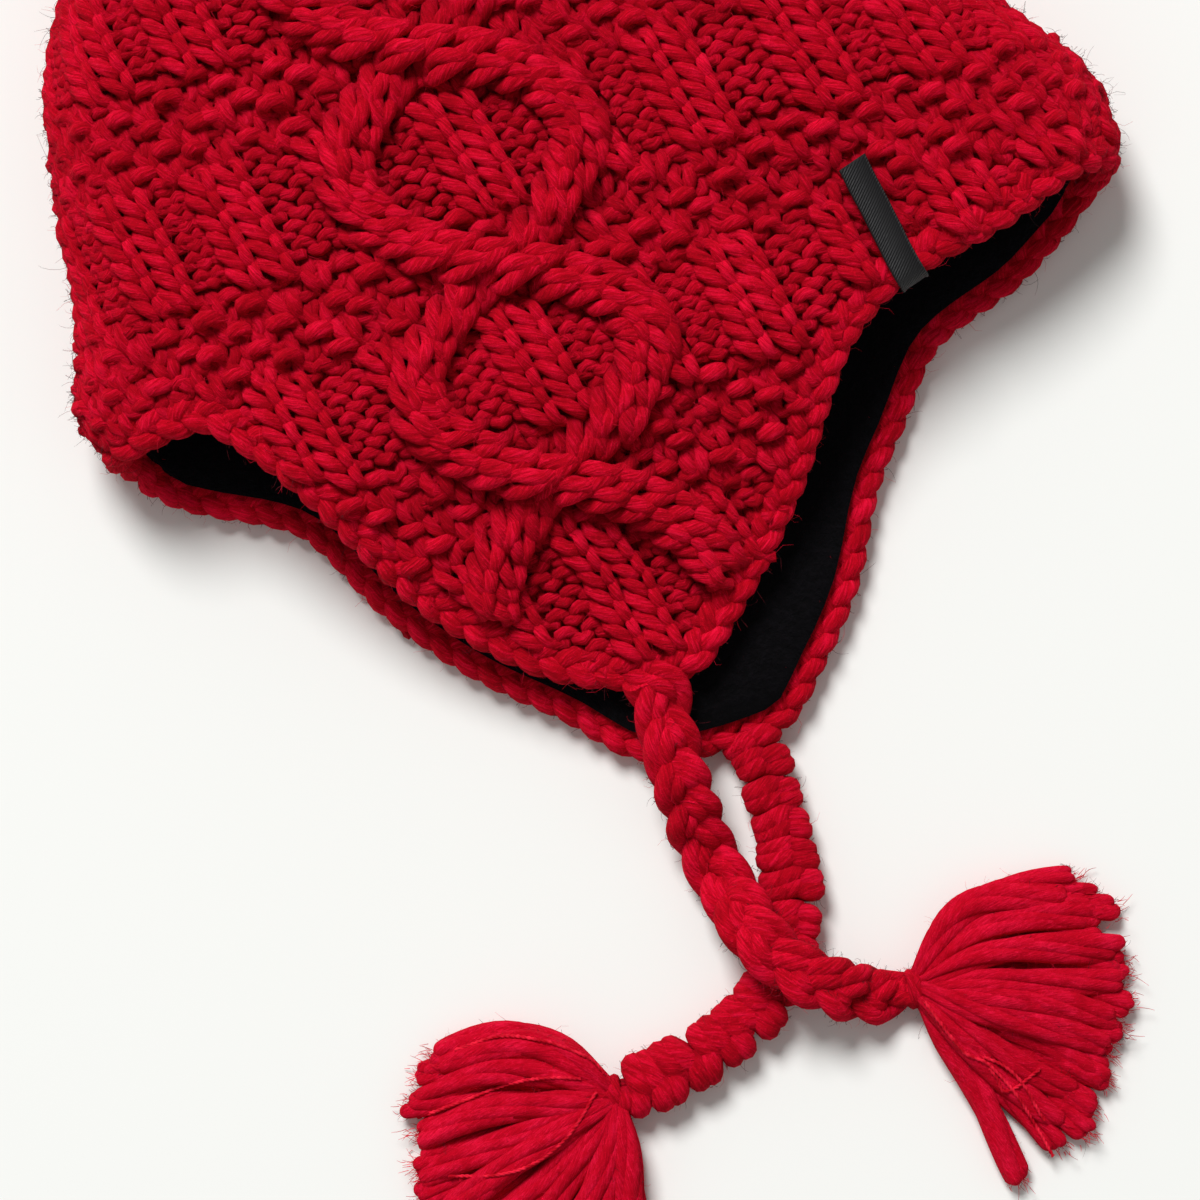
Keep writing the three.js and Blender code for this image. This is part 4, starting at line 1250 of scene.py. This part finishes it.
def tassel(name, line, locks, node):
    """All the locks of a tassel, four plies each, fanned out from its waist."""
    heading, level_side = level_end(line)
    waist = line[-1] + heading * 3.0
    share = np.concatenate([np.linspace(0, 0.94, 17), [0.97, 0.985, 0.995, 1.0]])
    lines = []
    thick = []
    for turn, reach, sway, high in locks:
        angle = math.radians(turn)
        out = np.array([math.cos(angle), math.sin(angle), 0.0])
        side = np.array([-out[1], out[0], 0.0])
        length = reach * TASSEL_LENGTH
        start = waist + heading * 0.6 + level_side * rng.uniform(-1.5, 1.5)
        end = waist + out * length
        middle = start + (end - start) * share[:, None]
        middle += side * (sway * length * np.sin(math.pi * share) * 1.2)[:, None]
        stack = high * (1 + 0.25 * rng.normal()) + rng.uniform(0, 0.7)
        middle[:, 2] = 2.9 + stack * np.sin(math.pi * share**0.6) ** 0.7 + 1.6 * (1 - share) ** 2
        turns = rng.random() * 6.28
        round_end = np.sqrt(np.clip(1 - np.clip((share - 0.96) / 0.042, 0, 1) ** 2, 0.04, 1))
        wave = 0.8 * np.sin(share * 6 + turns) * share
        bulk = 0.85 + 0.25 * rng.random()
        for ply in range(4):
            a = turns + ply * math.pi / 2 + share * 3.2 + rng.normal(0, 0.3)
            spread = 1.3 * (0.5 + 0.5 * smooth(share / 0.3))
            offset = side * (np.cos(a) * spread * 1.25 + wave)[:, None]
            offset = offset + UP * (np.sin(a) * spread)[:, None] * 0.7
            slip = out * rng.normal(0, 1.0) * share[:, None]
            lines.append(middle + offset + slip)
            swell = 0.5 + 0.5 * smooth(share / 0.35)
            thick.append(PLY_RADIUS * bulk * swell * round_end * (1 + 0.08 * rng.normal()))
            LOCK_POINTS.append(np.column_stack([lines[-1], thick[-1]]))
        for _ in range(FRAYS):
            spray = out + rng.normal(0, 0.35, 3)
            start = middle[-2] + rng.normal(0, 1.2, 3)
            curl = side * rng.normal(0, 0.6)
            reach = rng.uniform(0.9, 2.6)
            tip = np.linspace(0, 1, 4)[:, None]
            TIPS.append(start + spray * tip * reach + curl * tip**2)
    obj = strands(name, lines, thick, rng.random(len(lines)), TASSEL_YARN, 7)
    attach(obj, "root")
    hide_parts(node)
    return obj


near_yarns = tassel("near_tassel_yarns", near_line, NEAR_LOCKS, "near_tassel")
far_yarns = tassel("far_tassel_yarns", far_line, FAR_LOCKS, "far_tassel")

# %% [markdown]
# ## Loose threads
# A few thin threads have come away and lie over the tassels. Each is two plies
# twisted together along a route seen from above, and its height comes from the yarns
# that happen to lie under it, so that it rests on them.

# %% Loose threads on the tassels
THREADS = [
    [(-55.0, -171.5), (-62.0, -177.5), (-68.0, -181.0),
     (-75.5, -183.0), (-84.0, -182.5), (-93.0, -180.0)],
    [(-57.5, -167.5), (-65.0, -165.0), (-73.0, -164.0),
     (-82.0, -164.5), (-90.5, -165.0), (-96.0, -165.5)],
    [(-52.0, -168.0), (-54.0, -164.0), (-58.5, -160.0),
     (-63.5, -156.5), (-72.0, -153.0), (-83.0, -153.0)],
    [(22.5, -174.5), (24.0, -179.0), (27.5, -188.0), (32.0, -192.5),
     (36.0, -201.0), (38.0, -208.5), (40.0, -217.5)],
    [(31.5, -190.5), (35.0, -193.5), (37.5, -197.5),
     (39.0, -202.0), (39.5, -205.0), (40.5, -209.0)],
    [(32.0, -193.5), (33.0, -196.5), (33.5, -199.5),
     (36.5, -199.5), (40.5, -198.0), (43.0, -197.0)],
]
PLY_OFFSET = 0.22
TWIST_LENGTH = 2.4  # mm for one turn of the thread
THREAD_STEP = 0.6


def laid_thread(places):
    """A thread of two thin plies that lies over whatever is under it."""
    flat = np.column_stack([np.array(places, float), np.zeros(len(places))])
    line, _ = smooth_route(flat, THREAD_STEP)
    locks = np.concatenate(LOCK_POINTS)
    away = np.hypot(line[:, 0, None] - locks[:, 0], line[:, 1, None] - locks[:, 1])
    under = np.where(away < 1.9, locks[:, 2] + locks[:, 3] - away * 0.35, 0.5).max(axis=1)
    high = np.convolve(np.pad(under, 5, mode="edge"), np.ones(11) / 11, "valid") + 0.35
    side, _ = laid_frames(line)
    turn = np.arange(len(line)) * THREAD_STEP * 2 * math.pi / TWIST_LENGTH
    line[:, 2] = high
    plies = []
    for start in (0.0, math.pi):
        across = (PLY_OFFSET * np.cos(turn + start))[:, None]
        above = (PLY_OFFSET * np.sin(turn + start))[:, None]
        plies.append(line + side * across + UP * above)
    return plies


thread_lines = [ply for places in THREADS for ply in laid_thread(places)]

# %% [markdown]
# ## The bindings
# The yarn that ties off a tassel goes twice round its waist. A slow screw line about
# the end of the tie draws it, flattened a little and with a small sway, so that the
# two turns don't lie quite even.

# %% The wound waists
WRAPS = 2.1
WRAP_YARN = 1.25


def binding(name, line, node):
    """A screw line of yarn about the end of a tie."""
    heading, side = level_end(line)
    turn = np.linspace(0, 2 * math.pi * WRAPS, 64)
    run = 2.6 + 2.6 * turn / turn[-1] + 0.6 * np.sin(turn + 0.8)
    centre = line[-1] * [1, 1, 0] + UP * 4.9
    points = centre + heading * run[:, None]
    points = points + side * (3.5 * np.cos(turn))[:, None] + UP * (3.2 * np.sin(turn))[:, None]
    # painted shade: a fixed low level draws the wound yarn a little darker
    obj = strands(name, [points], [WRAP_YARN], [0.4], KNIT_YARN, 8, [np.full(len(points), -1.5)])
    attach(obj, "root")
    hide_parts(node)
    return obj


near_turns = binding("near_turns", near_line, "near_binding")
far_turns = binding("far_turns", far_line, "far_binding")

# %% [markdown]
# ## The fuzz
# Fine hairs stand off wool yarn everywhere. They soften its look and make a halo
# round its outline. A second Geometry Nodes tree scatters one small curved hair
# over the yarn that faces up, turned and scaled at random from a fixed seed. Longer
# curled hairs are drawn one by one along the outline.

# %% The tree that scatters hairs
def hair_tree():
    tree, given = start_tree(
        "Scatter hairs",
        (
            ("Density", "Float", 30000.0, 0.0),
            ("Seed", "Int", 1, 0),
            ("Bend Radius", "Float", 0.0024, 0.0),
            ("Hair Radius", "Float", 0.000032, 0.0),
            ("Finish", "Material", None, None),
        ),
    )
    # hairs grow where the yarn doesn't face down
    normal = add_node(tree, "GeometryNodeInputNormal").outputs["Normal"]
    parts = add_node(tree, "ShaderNodeSeparateXYZ", {"Vector": normal})
    facing = add_node(
        tree,
        "FunctionNodeCompare",
        {"A": parts.outputs["Z"], "B": -0.15},
        operation="GREATER_THAN",
    )
    spots = add_node(
        tree,
        "GeometryNodeDistributePointsOnFaces",
        {
            "Mesh": given["Geometry"],
            "Selection": facing.outputs["Result"],
            "Density": given["Density"],
            "Seed": given["Seed"],
        },
    )
    # one hair: an arc that starts at the origin and stands upright
    arc = add_node(
        tree,
        "GeometryNodeCurveArc",
        {"Resolution": 3, "Sweep Angle": math.radians(85), "Radius": given["Bend Radius"]},
    )
    back = maths(tree, "MULTIPLY", given["Bend Radius"], -1.0)
    shift = add_node(tree, "ShaderNodeCombineXYZ", {"X": back})
    rooted = add_node(
        tree,
        "GeometryNodeTransform",
        {"Geometry": arc.outputs["Curve"], "Translation": shift.outputs["Vector"]},
    )
    upright = add_node(
        tree,
        "GeometryNodeTransform",
        {"Geometry": rooted.outputs["Geometry"], "Rotation": (math.radians(90), 0, 0)},
    )
    ring = add_node(
        tree,
        "GeometryNodeCurvePrimitiveCircle",
        {"Resolution": 3, "Radius": given["Hair Radius"]},
    )
    way = add_node(tree, "GeometryNodeSplineParameter").outputs["Factor"]
    taper = add_node(tree, "ShaderNodeMapRange", {"Value": way, "To Min": 1.0, "To Max": 0.45})
    hair = add_node(
        tree,
        "GeometryNodeCurveToMesh",
        {
            "Curve": upright.outputs["Geometry"],
            "Profile Curve": ring.outputs["Curve"],
            "Scale": taper.outputs["Result"],
            "Fill Caps": True,
        },
    )
    # each hair is tilted, turned and scaled at random
    stand = add_node(
        tree,
        "FunctionNodeAlignRotationToVector",
        {"Vector": spots.outputs["Normal"]},
        axis="Z",
    )
    tilt = add_node(
        tree,
        "FunctionNodeRandomValue",
        {"Min": (-1.1, -1.1, -math.pi), "Max": (1.1, 1.1, math.pi), "Seed": given["Seed"]},
        data_type="FLOAT_VECTOR",
    )
    turned = add_node(
        tree,
        "FunctionNodeRotateRotation",
        {"Rotation": stand.outputs["Rotation"], "Rotate By": tilt.outputs["Value"]},
        rotation_space="LOCAL",
    )
    other_seed = maths(tree, "ADD", given["Seed"], 5.0)
    grow = add_node(
        tree,
        "FunctionNodeRandomValue",
        {"Min": 0.35, "Max": 1.5, "Seed": other_seed},
        data_type="FLOAT",
    )
    placed = add_node(
        tree,
        "GeometryNodeInstanceOnPoints",
        {
            "Points": spots.outputs["Points"],
            "Instance": hair.outputs["Mesh"],
            "Rotation": turned.outputs["Rotation"],
            "Scale": grow.outputs["Value"],
        },
    )
    end_tree(tree, placed.outputs["Instances"], given["Finish"])
    return tree


HAIRS = hair_tree()

# %% The finishes of the hairs
def hair_material(name, dark, light):
    material, tree, shader = start_material(name, {"Roughness": 0.8, "Specular IOR Level": 0.1})
    colour = colour_ramp(tree, object_noise(tree, 400), [(0.4, dark), (0.65, light)])
    set_inputs(tree, shader, {"Base Color": colour})
    return material


HAIR = hair_material("loose_fibre", (0.45, 0.0, 0.01), (0.88, 0.015, 0.05))
DARK_HAIR = hair_material("stray_hair", (0.02, 0.008, 0.01), (0.2, 0.02, 0.03))

# %% Hairs on the yarn that faces up
def read_vectors(mesh, key):
    """A position or a normal for each vertex."""
    flat = np.empty(len(mesh.vertices) * 3)
    mesh.vertices.foreach_get(key, flat)
    return flat.reshape(-1, 3)


def fuzz(name, yarns, density, seed, bend=0.0024):
    """Hairs over the upper yarn surfaces of some pieces, as one piece."""
    points, faces, offset = [], [], 0
    for obj in yarns:
        mesh = obj.data
        points.append(read_vectors(mesh, "co"))
        corners = np.empty(len(mesh.loops), int)
        mesh.loops.foreach_get("vertex_index", corners)
        sizes = np.empty(len(mesh.polygons), int)
        mesh.polygons.foreach_get("loop_total", sizes)
        starts = np.concatenate([[0], np.cumsum(sizes)[:-1]])
        quads = starts[sizes == 4]
        faces.append(corners[quads[:, None] + np.arange(4)] + offset)
        offset += len(mesh.vertices)
    base = bpy.data.meshes.new(name)
    base.from_pydata(np.concatenate(points), [], np.concatenate(faces).tolist())
    settings = {"Density": density, "Seed": seed, "Finish": HAIR, "Bend Radius": bend}
    obj = with_tree(name, base, HAIRS, **settings)
    co = read_vectors(obj.data, "co")
    co[:, 2] = np.maximum(co[:, 2], 0.0)
    obj.data.vertices.foreach_set("co", co.ravel())
    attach(obj, "root")
    print(f"{name}: {triangles(obj)} triangles")


SIDEWAYS = 0.45  # a normal with less height than this faces the side
OUTLINE_BAND = 2.5  # mm in from the outermost yarn
HAIR_TAPER = 0.044 * np.array([1.0, 0.95, 0.85, 0.65, 0.35])


def outline_hairs(name, pieces, count, seed):
    """Longer curled hairs that stand off the outline of the hat, the ties and the tassels."""
    draw = np.random.default_rng(seed)
    t = np.linspace(0, 1, 5)
    lines = []
    for obj, share, sideways_only in pieces:
        places = read_vectors(obj.data, "co") / MM - HAT_SHIFT
        facing = read_vectors(obj.data, "normal")
        fit = np.abs(facing[:, 2]) < SIDEWAYS
        if sideways_only:
            band = np.round(places[:, 1] / 4).astype(int)
            band -= band.min()
            low = np.full(band.max() + 1, 1e9)
            high = -low
            np.minimum.at(low, band, places[:, 0])
            np.maximum.at(high, band, places[:, 0])
            at_left = places[:, 0] < low[band] + OUTLINE_BAND
            at_right = places[:, 0] > high[band] - OUTLINE_BAND
            fit &= at_left | at_right
        chosen = draw.choice(np.flatnonzero(fit), int(count * share))
        for at in chosen:
            out = facing[at] + draw.normal(0, 0.5, 3)
            out /= np.linalg.norm(out)
            bend = np.cross(out, draw.normal(0, 1, 3))
            bend /= max(0.2, np.linalg.norm(bend))
            reach = draw.gamma(2.0, 0.85) + 0.7
            curl = draw.uniform(1.2, 5.5)
            swing = bend * (np.sin(t * curl) * t)[:, None] * reach * 0.7
            away = out * (t * np.cos(t * curl * 0.5))[:, None] * reach
            lines.append(places[at] + away + swing)
    shade = draw.random(len(lines))
    hair = strands(name, lines, [HAIR_TAPER] * len(lines), shade, DARK_HAIR, sides=3)
    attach(hair, "root")


outline_hairs(
    "outline_fuzz",
    [
        (crown_stitches, 0.16, True),
        (flap_stitches, 0.1, True),
        (rim, 0.26, False),
        (near_plait, 0.13, False),
        (far_plait, 0.11, False),
        (near_yarns, 0.13, False),
        (far_yarns, 0.11, False),
    ],
    count=7400,
    seed=21,
)
THREAD_RADIUS = 0.28
FRAY_TAPER = np.array([0.1, 0.09, 0.07, 0.04])
count = len(thread_lines)
threads = strands("loose_threads", thread_lines, [THREAD_RADIUS] * count, [0.7] * count, HAIR, 5)
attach(threads, "root")
frays = strands("tassel_frays", TIPS, [FRAY_TAPER] * len(TIPS), [0.5] * len(TIPS), HAIR, 3)
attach(frays, "root")
cords = [near_plait, far_plait, near_yarns, far_yarns]
fuzz("knit_fuzz", [flap_stitches, crown_stitches], density=34000.0, seed=3)
fuzz("trim_fuzz", [ropes, rim], density=45000.0, seed=5)
fuzz("cord_fuzz", cords, density=70000.0, seed=8, bend=0.0018)

# %% [markdown]


# %% [markdown]
# ## The label
# A short black tape is folded over the edge of the flap. Woven tape has a thicker
# selvedge along each side and a fine slanted weave between. Here a section is swept
# along the middle line of the frame's own label, and two stored places, along and
# across, draw the weave. It holds no lettering.

# %% The form of the tape
# from its end on the fleece, over the edging, to its end on the knit: the middle line
# of the label in the frame, rounded to 0.1 mm
TAPE_ROUTE = [
    (63.8, 0.5, 26.4), (64.3, -3.0, 26.4), (64.8, -6.1, 26.4), (66.9, -15.1, 26.4), (67.8, -17.6, 28.7),
    (68.0, -18.5, 33.9), (67.2, -16.5, 37.0), (66.1, -11.6, 37.9), (65.5, -7.7, 37.9), (64.8, -3.5, 37.9),
    (64.1, 0.9, 38.0), (63.1, 6.0, 38.2), (62.3, 11.1, 38.5),
]
# across and above the middle of the tape, right round one section
TAPE_SECTION = np.array([
    (-3.5, 0.05), (-3.38, 0.44), (-3.05, 0.54), (-2.7, 0.38), (-2.55, 0.26), (0.0, 0.28), (2.55, 0.26),
    (2.7, 0.38), (3.05, 0.54), (3.38, 0.44), (3.5, 0.05), (3.3, -0.4), (-3.3, -0.4),
])
TAPE_SIDE = np.array([0.958, 0.288, 0.0])


def woven_tape(finish):
    """The section of the tape swept along its route, closed at both ends."""
    line, length = smooth_route(TAPE_ROUTE, 0.6)
    above = np.cross(TAPE_SIDE, np.gradient(line, axis=0))
    above /= np.linalg.norm(above, axis=1, keepdims=True)
    rings = line[:, None] + TAPE_SIDE * TAPE_SECTION[:, :1] + above[:, None] * TAPE_SECTION[:, 1:]
    count, corners = rings.shape[:2]
    faces = [tuple(range(corners)), tuple(reversed(range((count - 1) * corners, count * corners)))]
    for i in range(count - 1):
        for k in range(corners):
            a = i * corners + k
            b = i * corners + (k + 1) % corners
            faces.append((b, a, a + corners, b + corners))
    obj = faced_piece("woven_tape", rings.reshape(-1, 3), faces, finish, flat=2)
    share = np.linspace(0, 1, count)
    for name, values in (
        ("tape_along", np.repeat(share * length, corners)),
        ("tape_across", np.tile(TAPE_SECTION[:, 0], count)),
    ):
        layer = obj.data.attributes.new(name, "FLOAT", "POINT")
        layer.data.foreach_set("value", values.astype(np.float32))
    return obj


# %% The finish of the tape
def tape_material():
    values = {"Roughness": 0.6, "Specular IOR Level": 0.35}
    material, tree, shader = start_material("black_tape", values)
    places = {"X": stored(tree, "tape_along"), "Y": stored(tree, "tape_across")}
    slanted = add_node(
        tree,
        "ShaderNodeVectorRotate",
        {
            "Vector": add_node(tree, "ShaderNodeCombineXYZ", places).outputs["Vector"],
            "Angle": math.radians(32),
        },
    )
    weave = add_node(
        tree,
        "ShaderNodeTexWave",
        {
            "Vector": slanted.outputs["Vector"],
            "Scale": 0.52,
            "Distortion": 1.2,
            "Detail Scale": 3.0,
        },
    ).outputs["Fac"]
    stops = [(0.2, (0.003, 0.003, 0.004)), (0.9, (0.009, 0.008, 0.009))]
    paint(tree, shader, colour_ramp(tree, weave, stops), weave, 0.00016)
    return material


tape = woven_tape(tape_material())
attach(tape, "root")
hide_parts("label_tab")

# %% [markdown]
# ## The table and the light
# A plain pale floor, one big soft light from the far side and a bright room. Soft
# shadows gather under the ties and beside the flap.

# %% The floor and lights
FLOOR_DROP = 0.0003  # the table lies this far under the yarn, so that none cuts it
floor_mesh = bpy.data.meshes.new("table")
floor_mesh.from_pydata([(-3, -3, 0), (3, -3, 0), (3, 3, 0), (-3, 3, 0)], [], [(0, 1, 2, 3)])
floor = add_object("table", floor_mesh)
floor.location = (0, 0, -FLOOR_DROP)
floor_look = {
    "Base Color": (0.885, 0.892, 0.866, 1),
    "Roughness": 0.9,
    "Specular IOR Level": 0.1,
}
floor_mesh.materials.append(start_material("pale_table", floor_look)[0])

world = bpy.data.worlds.new("room")
world.use_nodes = True
room = {"Color": (1.0, 1.0, 0.985, 1), "Strength": 0.3}
set_inputs(world.node_tree, world.node_tree.nodes["Background"], room)
bpy.context.scene.world = world

LIGHT_PLACE = (-0.5, 4.8, 5.9)
LIGHT_TARGET = (-0.02, -0.09, 0.0)
light_data = bpy.data.lights.new("soft_light", "AREA")
light_data.energy = 612
light_data.shape = "DISK"
light_data.size = 3.0
light = add_object("soft_light", light_data)
light.location = LIGHT_PLACE
aim = np.array(light.location) - np.array(LIGHT_TARGET)
down = math.acos(aim[2] / np.linalg.norm(aim))
light.rotation_euler = (down, 0, math.atan2(aim[1], aim[0]) + math.pi / 2)
